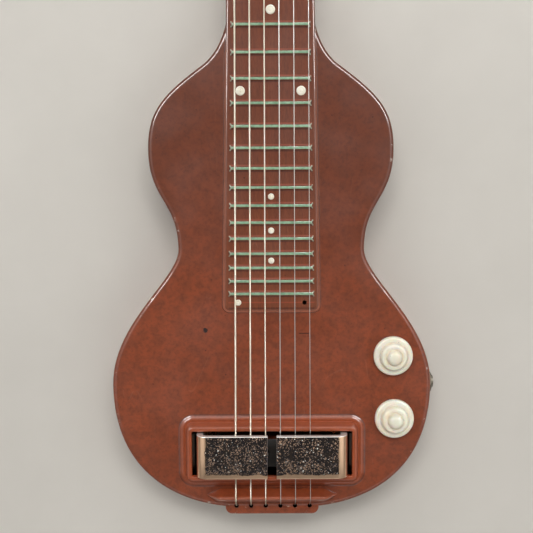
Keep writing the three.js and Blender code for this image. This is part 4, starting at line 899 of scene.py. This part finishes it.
stud_places = [("dot_5", 0, between_frets(5), 3.3), ("dot_7", 0, between_frets(7), 3.3),
               ("dot_9", 0, between_frets(9), 3.3), ("dot_12_bass", -21.3, between_frets(12), 3.3),
               ("dot_12_treble", 21.3, between_frets(12), 3.3), ("dot_17", 0, between_frets(17), 2.2),
               ("dot_19", 0, between_frets(19), 2.2), ("dot_21", 0, between_frets(21), 2.2),
               ("dot_24_bass", -pair_x, fret_y(fret_count) - pair_past_fret, 2.2)]
for name, x, y, radius in stud_places:
    stud = bmesh.new()
    turned(stud, [(0, 0.9), (radius * 0.3, 0.88), (radius * 0.36, 0.8), (radius * 0.44, 0.68),
                  (radius * 0.5, 0.7),
                  (radius * 0.56, 0.82), (radius * 0.7, 0.78), (radius * 0.86, 0.66), (radius * 0.96, 0.48),
                  (radius, 0.3), (radius, 0.0), (1.35, 0.0), (1.35, -2.2), (0, -2.2)],
           Matrix.Translation((x, y, board_z)), 32)
    made_piece("stud_" + name[4:], stud, stud_cream, stands_for=[name])

# Magnets. Two broad horseshoes of cobalt steel reach over the strings, tip to tip, and under the pickup.
# Their chrome is pitted from handling, most of all on the flat tops.
magnet_low, magnet_high = 12.6, 54.6
magnet_thickness = 4.8
magnet_tip, magnet_back = 3.1, 53.7
magnet_half_width = 15.3
chrome, tree, shader, where = new_material("pitted_chrome", **metal)
pits = put(tree, "TexVoronoi", {"Vector": where, "Scale": 1500.0, "Randomness": 1.0})
drawn = put(tree, "SeparateColor", {"Color": pits.outputs["Color"]})
patches = noise(tree, where, 90.0, 4.0, 0.65)
pit_size = times(tree, drawn.outputs[0], ramped(tree, patches, 0.35, 0.62, 0.3, 1.0))
pit = ramped(tree, less(tree, pits.outputs["Distance"], pit_size), 0.04, -0.04)
blooms = noise(tree, where, 230.0, 6.0, 0.75)
bloom = ramped(tree, blooms, 0.58, 0.68)
rust = figured(tree, "MAXIMUM", times(tree, pit, ramped(tree, drawn.outputs[1], 0.2, 0.8)), bloom)
smoked = placed(tree, clouding, Vector=where, Scale=420.0, First=tone(96, 96, 104),
                Second=tone(146, 130, 118))
colour = mixed(tree, times(tree, rust, 0.72), smoked["Color"], tone(176, 140, 110))
bright = times(tree, pit, figured(tree, "GREATER_THAN", drawn.outputs[2], 0.96))
colour = mixed(tree, bright, colour, tone(240, 236, 226))
# Painted reflection: tan is painted over the outer bends and along the edge on the tail's side, standing in
# for the tan reflections that lie there.
spot_at = axes(tree, where)
wander = noise(tree, where, 130.0, 4.0)
swing = times(tree, less(tree, wander, 0.5), 4.0 * mm)
outwards = plus(tree, figured(tree, "ABSOLUTE", spot_at["X"]), swing)
tailwards = less(tree, less(tree, place_on_row(0, pickup_y - magnet_half_width, 0).y,
                                              spot_at["Y"]), swing)
tan_painted_reflection = figured(tree, "MAXIMUM", ramped(tree, outwards, 46.2 * mm, 47.4 * mm),
               ramped(tree, tailwards, -3.6 * mm, -3.0 * mm))
colour = mixed(tree, times(tree, tan_painted_reflection, 0.92), colour, tone(228, 190, 156))
# Painted highlight: a pale strip runs along the edge on the head's side.
head_edge = place_on_row(0, pickup_y + magnet_half_width, 0).y
head_edge_painted_highlight = ramped(tree, spot_at["Y"], head_edge - 0.5 * mm, head_edge - 0.3 * mm)
colour = mixed(tree, head_edge_painted_highlight, colour, tone(206, 204, 200))
join_socket(tree, colour, shader, "Base Color")
rust = times(tree, rust, less(tree, 1.0, tan_painted_reflection))
bare = figured(tree, "MAXIMUM", figured(tree, "MAXIMUM", rust, head_edge_painted_highlight), times(tree, tan_painted_reflection, 0.5))
join_socket(tree, ramped(tree, bare, 0.0, 1.0, 0.07, 0.5), shader, "Roughness")
ripple = noise(tree, where, 40.0, 1.0)
height = less(tree, times(tree, ripple, 3.0), rust)
embossed(tree, shader, height, 0.35, 0.0002)

for name, side in (("bass", -1), ("treble", 1)):
    magnet = bmesh.new()
    inner_back = magnet_back - magnet_thickness
    outline = [(magnet_tip, magnet_low), (magnet_back, magnet_low), (magnet_back, magnet_high),
               (magnet_tip, magnet_high), (magnet_tip, magnet_high - magnet_thickness),
               (inner_back, magnet_high - magnet_thickness), (inner_back, magnet_low + magnet_thickness),
               (magnet_tip, magnet_low + magnet_thickness)]
    face = magnet.faces.new([magnet.verts.new((side * x, pickup_y - magnet_half_width, z))
                             for x, z in outline])
    thickened(magnet, [face], (0, 2 * magnet_half_width, 0))
    bmesh.ops.recalc_face_normals(magnet, faces=magnet.faces)
    for across, radius in ((magnet_back, 7.7), (inner_back, 2.9)):
        bends = [edge for edge in magnet.edges
                 if all(abs(vert.co.x - side * across) < 0.01 for vert in edge.verts)
                 and abs(edge.verts[0].co.z - edge.verts[1].co.z) < 0.01]
        bmesh.ops.bevel(magnet, geom=bends, offset=radius, segments=12, profile=0.5, affect="EDGES",
                        material=-1)
    softened(magnet, 0.55, 4, 60)
    made_piece("horseshoe_" + name, magnet, chrome, stands_for=["magnet_" + name],
               crease=50)

# Pickup core. A steel comb carries six poles up through a black bobbin, wound with fine enamelled wire, and a
# steel hanger holds the magnets under the top.
pole_steel = clouded_finish("pole_steel", 150.0, (148, 144, 138), (104, 98, 92), (0.28, 0.5), (0.25, 0.0002),
                            **metal)
dressed("pole_comb", pole_steel)
dressed("pickup_cradle", bare_steel)

black_bobbin, tree, shader, where = new_material("black_fibre", IOR=1.5)
fibres = put(tree, "Mapping", {"Vector": where, "Scale": (1, 6, 6)}).outputs[0]
fibre = noise(tree, fibres, 300.0, 5.0)
join_socket(tree, mixed(tree, ramped(tree, fibre, 0.35, 0.75), tone(26, 24, 22), tone(52, 46, 40)), shader,
            "Base Color")
join_socket(tree, ramped(tree, fibre, 0.3, 0.7, 0.55, 0.75), shader, "Roughness")
embossed(tree, shader, fibre, 0.3, 0.0002)
dressed("pickup_bobbin", black_bobbin, 0.3)

enamelled_wire, tree, shader, where = new_material("enamelled_wire", Metallic=0.6, IOR=1.5)
height_z = axes(tree, where)["Z"]
strands = figured(tree, "SINE", times(tree, height_z, 2 * pi / (0.35 * mm)))
cloud = placed(tree, clouding, Vector=where, Scale=90.0, First=tone(140, 70, 40), Second=tone(96, 42, 26))
join_socket(tree, cloud["Color"], shader, "Base Color")
join_socket(tree, ramped(tree, cloud["Share"], 0.0, 1.0, 0.3, 0.5), shader, "Roughness")
embossed(tree, shader, strands, 0.4, 0.0001)
coil_low, coil_high = 22.3, 40.1
coil_half = (41, 9.5)
layers = 22
coil = bmesh.new()
coil_face = rounded_blank(coil, (string_shift, pickup_y), *coil_half, 9.2, coil_low, 8)
centred = Matrix.Translation((-string_shift, -pickup_y, 0))
for layer in range(layers):
    coil_face = grown_face(coil, coil_face)
    bulge = 0.22 if layer % 2 else -0.22
    bmesh.ops.scale(coil, vec=(1 + bulge / coil_half[0], 1 + bulge / coil_half[1], 1), space=centred,
                    verts=coil_face.verts)
    bmesh.ops.translate(coil, vec=(0, 0, (coil_high - coil_low) / layers), verts=coil_face.verts)
coil_piece = made_piece("wound_coil", coil, enamelled_wire, stands_for=["pickup_coil"],
                        crease=60)
tools = bmesh.new()
core = rounded_blank(tools, (string_shift, pickup_y), 35.3, 3.8, 3.5, coil_low - 1, 8)
thickened(tools, [core], (0, 0, coil_high - coil_low + 2))
punched(coil_piece, tools)

# Controls. Two potentiometers hang under the top on hexagon nuts. Each turns with a cream moulded knob, which
# is ringed, has a domed centre and is yellowed where hands and dust reach.
pot_steel = clouded_finish("pot_plate", 110.0, (128, 122, 110), (92, 84, 72), (0.3, 0.5), (0.2, 0.0002),
                           **metal)
brass = clouded_finish("brass", 120.0, (196, 160, 92), (150, 112, 58), (0.22, 0.42), (0.2, 0.0002), **metal)

knob_radius, knob_height, knob_base = 14, 14.5, 36
knob_rings = (
    (0, 1), (0.08, 0.997), (0.16, 0.988), (0.24, 0.965), (0.3, 0.925), (0.345, 0.86), (0.37, 0.76),
    (0.385, 0.68), (0.41, 0.645), (0.44, 0.655), (0.5, 0.665), (0.58, 0.655), (0.635, 0.625),
    (0.665, 0.575), (0.685, 0.5), (0.7, 0.41), (0.715, 0.355), (0.74, 0.325), (0.78, 0.33), (0.86, 0.325),
    (0.93, 0.3), (0.975, 0.265), (0.995, 0.215), (1, 0.15), (1, 0.06), (0.985, 0.02), (0.955, 0),
)
knob_groove_radii = (0.4, 0.725)
for name, centre in (("volume", volume_at), ("tone", tone_at)):
    cream, tree, shader, where = new_material(
        "cream_moulding_" + name, IOR=1.5, Subsurface_Weight=0.55, Subsurface_Radius=(0.006, 0.0045, 0.003))
    middle = place_on_row(centre.x, centre.y, 0)
    from_middle = put(tree, "Mapping", {"Vector": where, "Location": (-middle.x, -middle.y, 0)}).outputs[0]
    flat = put(tree, "VectorMath", {0: from_middle, 1: (1, 1, 0)}, operation="MULTIPLY").outputs[0]
    radius = put(tree, "VectorMath", {0: flat}, operation="LENGTH").outputs["Value"]
    cloud = placed(tree, clouding, Vector=where, Scale=70.0, First=tone(252, 246, 230),
                   Second=tone(246, 237, 214))
    grime_noise = noise(tree, where, 150.0, 5.0)
    patchy = ramped(tree, grime_noise, 0.3, 0.65, 0.35, 1.0)
    colour = cloud["Color"]
    for groove, strength in zip(knob_groove_radii, (0.3, 0.32)):
        off = off_by(tree, radius, groove * knob_radius * mm)
        in_groove = ramped(tree, off, 1.0 * mm, 0.1 * mm, 0.0, strength)
        colour = mixed(tree, times(tree, in_groove, patchy), colour, tone(190, 154, 112))
    worn = placed(tree, marks, Vector=where, Speck_Scale=420.0, Speck_Size=0.16, Speck_Share=0.14)
    colour = mixed(tree, times(tree, worn["Specks"], 0.5), colour, tone(170, 136, 92))
    join_socket(tree, colour, shader, "Base Color")
    join_socket(tree, ramped(tree, cloud["Share"], 0.0, 1.0, 0.26, 0.4), shader, "Roughness")
    turning = figured(tree, "SINE", times(tree, radius, 2 * pi / (0.45 * mm)))
    embossed(tree, shader, turning, 0.06, 0.0001)

    knob = bmesh.new()
    outside = [(share * knob_radius, height * knob_height) for share, height in knob_rings]
    inside = [(8.6, 0), (8, 0.5), (8, 5), (3.2, 5), (3.2, 11), (0, 11)]
    turned(knob, outside + inside, Matrix.Translation((centre.x, centre.y, knob_base)), 72)
    made_piece(f"{name}_cap", knob, cream, f"{name}_control", [f"{name}_knob"], crease=60)
    nut = bmesh.new()
    turned(nut, [(4.62, 0), (6.6, 0), (6.6, 0.5), (4.62, 0.5), (4.62, 0)],
           Matrix.Translation((centre.x, centre.y, top_z)), 40)
    turned(nut, [(4.62, 0.5), (6.3, 0.5), (6.3, 2.3), (5.9, 2.6), (4.62, 2.6), (4.62, 0.5)],
           Matrix.Translation((centre.x, centre.y, top_z)) @ Matrix.Rotation(0.3, 4, "Z"), 6)
    made_piece(f"{name}_nut", nut, nickel, crease=30)
    dressed(f"{name}_pot", pot_steel)
    dressed(f"{name}_shaft", brass)

# Wiring. A waxed paper capacitor joins the two potentiometers, cloth-covered leads run to the coil and the
# jack, and the jack socket is clamped in the treble wall by a washer and a hexagon nut.
waxed_paper = clouded_finish("waxed_paper", 120.0, (190, 150, 96), (150, 108, 60), (0.4, 0.7), (0.4, 0.0004),
                             IOR=1.45)
dressed("tone_capacitor", waxed_paper)


def eased(route, radius, steps=5):
    """A route with each corner eased over a distance of at most that radius."""
    points = [route[0]]
    for before, here, after in zip(route, route[1:], route[2:]):
        arrive, leave = before - here, after - here
        run = min(radius, arrive.length / 2.1, leave.length / 2.1)
        start, end = here + arrive.normalized() * run, here + leave.normalized() * run
        for step in range(steps + 1):
            t = step / steps
            points.append(start.lerp(here, t).lerp(here.lerp(end, t), t))
    return points + [route[-1]]


def drawn_wire(bm, route, radius, sides):
    """Draws round wire along a route. Each ring keeps the turn of the last, and knows its way along."""
    along = bm.verts.layers.float.get("along") or bm.verts.layers.float.new("along")
    aims = []
    for number, point in enumerate(route):
        before, after = route[max(number - 1, 0)], route[min(number + 1, len(route) - 1)]
        aims.append((after - before).normalized())
    facing = Vector((0, 0, 1)).rotation_difference(aims[0]).to_matrix().to_4x4()
    ring = bmesh.ops.create_circle(bm, cap_ends=True, segments=sides, radius=radius,
                                   matrix=Matrix.Translation(route[0]) @ facing)["verts"]
    face = ring[0].link_faces[0]
    travelled = 0.0
    for here, there, aim, next_aim in zip(route, route[1:], aims, aims[1:]):
        face = grown_face(bm, face)
        swing = aim.rotation_difference(next_aim).to_matrix().to_4x4()
        step = Matrix.Translation(there) @ swing @ Matrix.Translation(-here)
        bmesh.ops.transform(bm, matrix=step, verts=face.verts)
        travelled += (there - here).length
        for vert in face.verts:
            vert[along] = travelled


braided_cloth, tree, shader, where = new_material("braided_cloth", IOR=1.45)
way = put(tree, "Attribute", attribute_name="along").outputs["Fac"]
weave = figured(tree, "SINE", times(tree, way, 2 * pi / 0.9))
fluff = noise(tree, where, 1500.0, 3.0)
height = plus(tree, weave, fluff)
join_socket(tree, mixed(tree, ramped(tree, height, -0.5, 1.5), tone(30, 26, 22), tone(70, 60, 46)), shader,
            "Base Color")
join_socket(tree, ramped(tree, fluff, 0.3, 0.7, 0.75, 0.95), shader, "Roughness")
embossed(tree, shader, height, 0.6, 0.0002)


def hanging_route(top, end, sag=3.0, stub=3.0, steps=24):
    """The way of a lead that leaves a potentiometer's underside and hangs a little on its way."""
    start = top - Vector((0, 0, stub))
    shares = [step / steps for step in range(steps + 1)]
    return [top] + [start.lerp(end, t) - Vector((0, 0, sag * 4 * t * (1 - t))) for t in shares]


pot_bottom = 23.8
coil_side = Vector((22, pickup_y + 3.5 + 6 + 0.9 + 0.3, (20.4 + 35) / 2))
pickup_top = Vector((volume_at.x - 6, volume_at.y - 12 * 0.7071, pot_bottom - 0.3))
lead = bmesh.new()
drawn_wire(lead, eased(hanging_route(pickup_top, coil_side), 1.5), 0.9, 14)
made_piece("coil_lead", lead, braided_cloth, stands_for=["pickup_lead"], crease=60)
jack_end = 114.8 - 1.2 - 0.8 - 2 - 22 - 0.3
lead = bmesh.new()
output_top = Vector((volume_at.x, volume_at.y, pot_bottom - 0.3))
output_route = hanging_route(output_top, Vector((jack_end - 3, jack_y, jack_z)))
output_route.append(Vector((jack_end, jack_y, jack_z)))
drawn_wire(lead, eased(output_route, 1.5), 0.9, 14)
made_piece("jack_lead", lead, braided_cloth, stands_for=["output_lead"], crease=60)

jack = bmesh.new()
along_x = Matrix.Translation((0, jack_y, jack_z)) @ Matrix.Rotation(pi / 2, 4, "Y")
mouth, wall_inner = 118.8, 112.8
turned(jack, [(0, mouth - 26), (3.3, mouth - 26), (3.3, mouth - 0.5), (3.7, mouth), (4.3, mouth),
              (4.7, mouth - 0.5),
              (4.7, wall_inner), (8, wall_inner), (8, wall_inner - 2), (6.5, wall_inner - 2),
              (6.5, wall_inner - 24),
              (0, wall_inner - 24)], along_x, 40)
made_piece("jack_body", jack, pot_steel, stands_for=["jack_socket"], crease=40)
clamp = bmesh.new()
turned(clamp, [(4.75, 114.4), (8.4, 114.4), (8.4, 115.2), (8.2, 115.4), (4.75, 115.4), (4.75, 114.4)],
       along_x, 48)
turned(clamp, [(4.75, 115.4), (7.2, 115.4), (7.2, 117.3), (6.8, 117.7), (4.75, 117.7), (4.75, 115.4)],
       along_x @ Matrix.Rotation(0.2, 4, "Z"), 6)
made_piece("jack_nut", clamp, pot_steel, crease=30)

# Tuners. Three to a side on a plate under the head: the button turns a worm in two brackets, and the worm
# turns a brass gear that is screwed to the foot of the string post.
tooth_pitch = 2.9
worm_tip, worm_root = 3.8, 2.2
journal = 1.5
turns_of_thread = 3
thread_start = -tooth_pitch * (2 - 0.5 + 0.16 + 0.09)
thread_end = thread_start + tooth_pitch * (turns_of_thread + 1)
bracket_run = 0.3 + 0.25 + 1.3 + 0.6
button_start, button_length = 17.5, 12.5
dressed("tuner_plate_bass", nickel, 0.2)
dressed("tuner_plate_treble", nickel, 0.2)

button_cream = clouded_finish(
    "button_cream", 60.0, (238, 228, 200), (222, 204, 164), (0.26, 0.4), (0.15, 0.0003),
    (480.0, 0.16, 0.14, 0.5, (170, 136, 92)), IOR=1.5, Subsurface_Weight=0.08,
    Subsurface_Radius=(0.003, 0.002, 0.001))

for string, side, x, y in tuners:
    number = string + 1
    mirror = Matrix.Diagonal((side, 1, 1, 1))
    worm_place = Matrix.Translation((x, y + worm_ahead, worm_z)) @ mirror
    worm = bmesh.new()
    turned(worm, [(0, thread_start - bracket_run), (journal * 0.8, thread_start - bracket_run),
                  (journal, thread_start - bracket_run + 0.3), (journal, thread_start - 0.3),
                  (worm_root - 0.2, thread_start - 0.3), (worm_root, thread_start - 0.1),
                  (worm_root, thread_end + 0.1), (worm_root - 0.2, thread_end + 0.3),
                  (journal, thread_end + 0.3),
                  (journal, button_start + 5), (0, button_start + 5)], Matrix.Rotation(pi / 2, 4, "Y"), 32)
    flank, tip = 0.16 * tooth_pitch, 0.18 * tooth_pitch
    tooth = [worm.verts.new((thread_start + run, radius, 0)) for run, radius in (
        (0, worm_root - 0.15), (flank, worm_tip), (flank + tip, worm_tip),
        (2 * flank + tip, worm_root - 0.15))]
    tooth_edges = [worm.edges.new(pair) for pair in zip(tooth, tooth[1:] + tooth[:1])]
    bmesh.ops.spin(worm, geom=tooth + tooth_edges, axis=(1, 0, 0), cent=(0, 0, 0),
                   dvec=(tooth_pitch / 32, 0, 0), angle=2 * pi * turns_of_thread, steps=32 * turns_of_thread)
    bmesh.ops.holes_fill(worm, edges=worm.edges, sides=4)
    bmesh.ops.transform(worm, matrix=worm_place, verts=worm.verts)
    made_piece(f"worm_{number}", worm, nickel, f"tuner_shaft_{number}",
               [f"tuner_worm_{number}"],
               crease=35)
    dressed(f"tuner_gear_{number}", brass, 0.12)

    button = bmesh.new()
    middle = Matrix.Translation((button_start + button_length / 2, 0, -3)) @ Matrix.Diagonal(
        (button_length / 2, 8, 1, 1))
    bmesh.ops.create_circle(button, cap_ends=True, segments=56, radius=1, matrix=middle)
    button.faces.ensure_lookup_table()
    thickened(button, [button.faces[0]], (0, 0, 6))
    bmesh.ops.recalc_face_normals(button, faces=button.faces)
    softened(button, 1.9, 6, 60)
    bmesh.ops.transform(button, matrix=worm_place, verts=button.verts)
    made_piece(f"button_{number}", button, button_cream, f"tuner_shaft_{number}",
               [f"tuner_button_{number}"], crease=50)
    ferrule = bmesh.new()
    turned(ferrule, [(1.55, button_start - 2.2), (2.1, button_start - 2.2), (2.3, button_start - 1.9),
                     (2.3, button_start - 1.2),
                     (2.9, button_start - 0.7), (3.1, button_start - 0.2), (3.1, button_start + 0.8),
                     (1.55, button_start + 0.8), (1.55, button_start - 2.2)],
           Matrix.Rotation(pi / 2, 4, "Y"), 28)
    bmesh.ops.transform(ferrule, matrix=worm_place, verts=ferrule.verts)
    made_piece(f"ferrule_{number}", ferrule, nickel, f"tuner_shaft_{number}", crease=40)

    post = bmesh.new()
    turned(post, [(0, head_z + 14), (2.3, head_z + 14), (2.9, head_z + 13.8), (3.2, head_z + 13.4),
                  (3.2, head_z + 12.7),
                  (2.75, head_z + 12.2), (2.6, head_z + 11.8), (2.6, head_z + 5.6), (2.7, head_z + 5.2),
                  (3, head_z + 4.9), (3, worm_z + 2.3), (2, worm_z + 2.3), (2, worm_z - 3), (0, worm_z - 3)],
           Matrix.Translation((x, y, 0)), 36)
    post_piece = made_piece(f"post_{number}", post, nickel, f"tuner_post_{number}",
                            [f"tuner_post_{number}"], crease=40)
    tools = bmesh.new()
    bar_tool(tools, (x, y, head_z + 8), 0.8, 10, "X", 16)
    punched(post_piece, tools)
    foot = bmesh.new()
    slotted_screw(foot, Matrix.Translation((x, y, worm_z - 2.0)) @ downwards, 3.0, 1.6, 0.5 * number)
    made_piece(f"gear_screw_{number}", foot, screw_steel, f"tuner_post_{number}", crease=30)

plate_screws = bmesh.new()
for side in (-1, 1):
    for y in (first_post - 4.5, first_post + 19, first_post + 57, first_post + 2 * post_pitch + 13):
        slotted_screw(plate_screws, Matrix.Translation((side * 19.4, y, 27.5)) @ downwards, 1.7, 1.0, y)
made_piece("plate_screws", plate_screws, screw_steel, crease=30)

# Strings. Three wound strings and three plain ones, each held by a ball under the tail tab, drawn up through
# its hole, over the ridge and the nut, and wound on its post.
string_diameters = (1.25, 1.05, 0.9, 0.66, 0.54, 0.46)
nut_string_z = board_z + 11.7
winding_turns = 2.25
around = 36


def string_metal(name, light, dark, wrap):
    """Bright string wire; a wound string has the ridges of its wrap along it."""
    material, tree, shader, where = new_material(name, **metal)
    way = put(tree, "Attribute", attribute_name="along").outputs["Fac"]
    cloud = placed(tree, clouding, Vector=where, Scale=50.0, First=tone(*light), Second=tone(*dark))
    below = axes(tree, where)["Z"]
    # Painted shade: the wire below the tab, in its holes and round the ball, is darkened nearly to black.
    painted_shade_below_tab = ramped(tree, below, (tab_z + 0.1) * mm, (tab_z - 0.5) * mm)
    join_socket(tree, mixed(tree, painted_shade_below_tab, cloud["Color"], tone(22, 16, 12)), shader, "Base Color")
    join_socket(tree, ramped(tree, cloud["Share"], 0.0, 1.0, 0.4, 0.5), shader, "Roughness")
    wraps = figured(tree, "SINE", times(tree, way, 2 * pi / 0.32))
    height = wraps if wrap else cloud["Share"]
    embossed(tree, shader, height, 0.5 if wrap else 0.1, 0.0001)
    return material


wound_wire = string_metal("wound_wire", (214, 206, 190), (196, 186, 166), True)
plain_wire = string_metal("plain_wire", (200, 196, 190), (178, 172, 164), False)
for string, side, x, y in tuners:
    radius = string_diameters[string] / 2
    bridge_x = string_x(string, crest_y)
    nut_x = string_x(string, scale_length)
    crest_z = top_z + 11.6 + 0.3 + radius
    route = [Vector(place) for place in (
        (bridge_x, anchor_y, tab_z - sheet - 0.3 - 1.75), (bridge_x, anchor_y + 0.3, tab_z - sheet),
        (bridge_x, anchor_y + 1.5 - radius, tab_z + 0.1),
        (bridge_x, crest_y - 1.6, crest_z - 0.45), (bridge_x, crest_y, crest_z),
        (nut_x, scale_length - 1.2, nut_string_z), (nut_x, scale_length + 1.2, nut_string_z))]
    wind_radius = 2.6 + 0.3 + radius
    to_post = Vector((x - nut_x, y - scale_length - 1.2))
    meets = atan2(to_post.y, to_post.x) + pi - side * acos(wind_radius / to_post.length)
    steps = round(winding_turns * around)
    for step in range(steps + 1):
        turn = step / steps * winding_turns
        angle = meets - side * turn * 2 * pi
        route.append(Vector((x + wind_radius * cos(angle), y + wind_radius * sin(angle),
                             head_z + 10 - turn * (2 * radius + 0.5))))
    wire = bmesh.new()
    drawn_wire(wire, eased(route[:8], 0.8, 4) + route[8:], radius, 12)
    ball = Matrix.Translation(route[0])
    turned(wire, [(0, 1.75), (1.7, 1.75), (2, 1.4), (2, 0.5), (1.6, 0.15), (1.6, -0.15), (2, -0.5), (2, -1.4),
                  (1.7, -1.75), (0, -1.75)], ball, 24)
    wound = string < 3
    made_piece(f"wire_{string + 1}", wire, wound_wire if wound else plain_wire, "root",
               [f"string_{string + 1}"], crease=50)

# Bench. A plain pale floor under the guitar, large soft lights round it, and the camera straight above the
# body, turned a little towards the tail.
floor_paint, tree, shader, where = new_material("pale_floor", Roughness=0.8)
cloud = placed(tree, clouding, Vector=where, Scale=3.0, First=tone(214, 209, 200), Second=tone(206, 201, 192))
join_socket(tree, cloud["Color"], shader, "Base Color")
floor_mesh = bmesh.new()
bmesh.ops.create_grid(floor_mesh, x_segments=1, y_segments=1, size=3,
                      matrix=Matrix.Translation((0, 0, -0.0004)))
mesh = mesh_of("floor", floor_mesh)
mesh.materials.append(floor_paint)
floor = set_down("floor", mesh)

soft_lights = (
    ("overhead_light", (0, 0.8, 1.75), (0, -0.15, 0), 1.5, 0.6, 21),
    ("head_light", (0, 1.5, 0.8), (0, -0.2, 0), 1.6, 0.7, 8),
    ("head_bass_strip", (-0.9, 0.6, 0.95), (0, -0.3, 0), 0.9, 0.28, 30),
    ("head_treble_strip", (0.9, 0.6, 0.95), (0, -0.3, 0), 0.9, 0.28, 30),
    ("bass_light", (-1.4, -0.3, 1.1), (0, -0.15, 0), 1.5, 1.6, 5.5),
    ("treble_light", (1.4, -0.3, 1.1), (0, -0.15, 0), 1.5, 1.6, 7),
    ("tail_light", (0.1, -1.3, 0.9), (0, -0.2, 0), 1.4, 0.6, 3),
)
for name, place, target, width, depth, power in soft_lights:
    light = bpy.data.lights.new(name, "AREA")
    light.shape = "RECTANGLE"
    light.size = width
    light.size_y = depth
    light.energy = power
    lamp = set_down(name, light)
    lamp.matrix_world = Matrix.Translation(place) @ (
        Vector(target) - Vector(place)).to_track_quat("-Z", "Y").to_matrix().to_4x4()
    lamp.visible_glossy = name != "overhead_light"
    lamp.visible_diffuse = not name.endswith("strip")
world = bpy.data.worlds.new("studio")
world.use_nodes = True
world.node_tree.nodes["Background"].inputs["Color"].default_value = (0.64, 0.62, 0.6, 1)
world.node_tree.nodes["Background"].inputs["Strength"].default_value = 0.17
bpy.context.scene.world = world
bpy.context.scene.view_settings.view_transform = "Standard"

camera_height = 700
camera_along = 232.5
camera_across = -3.4
camera_tilt = -5.307
camera_roll = -0.239
focal_pixels = 937.4
image_pixels = 533
camera_data = bpy.data.cameras.new("camera")
camera_data.sensor_width = 36
camera_data.lens = focal_pixels * camera_data.sensor_width / image_pixels
camera_data.clip_start = 0.01
camera = set_down("camera", camera_data)
camera.matrix_world = (Matrix.Translation(place_on_row(camera_across, camera_along, camera_height))
                       @ Matrix.Rotation(radians(camera_tilt), 4, "X")
                       @ Matrix.Rotation(radians(camera_roll), 4, "Z"))
bpy.context.scene.camera = camera
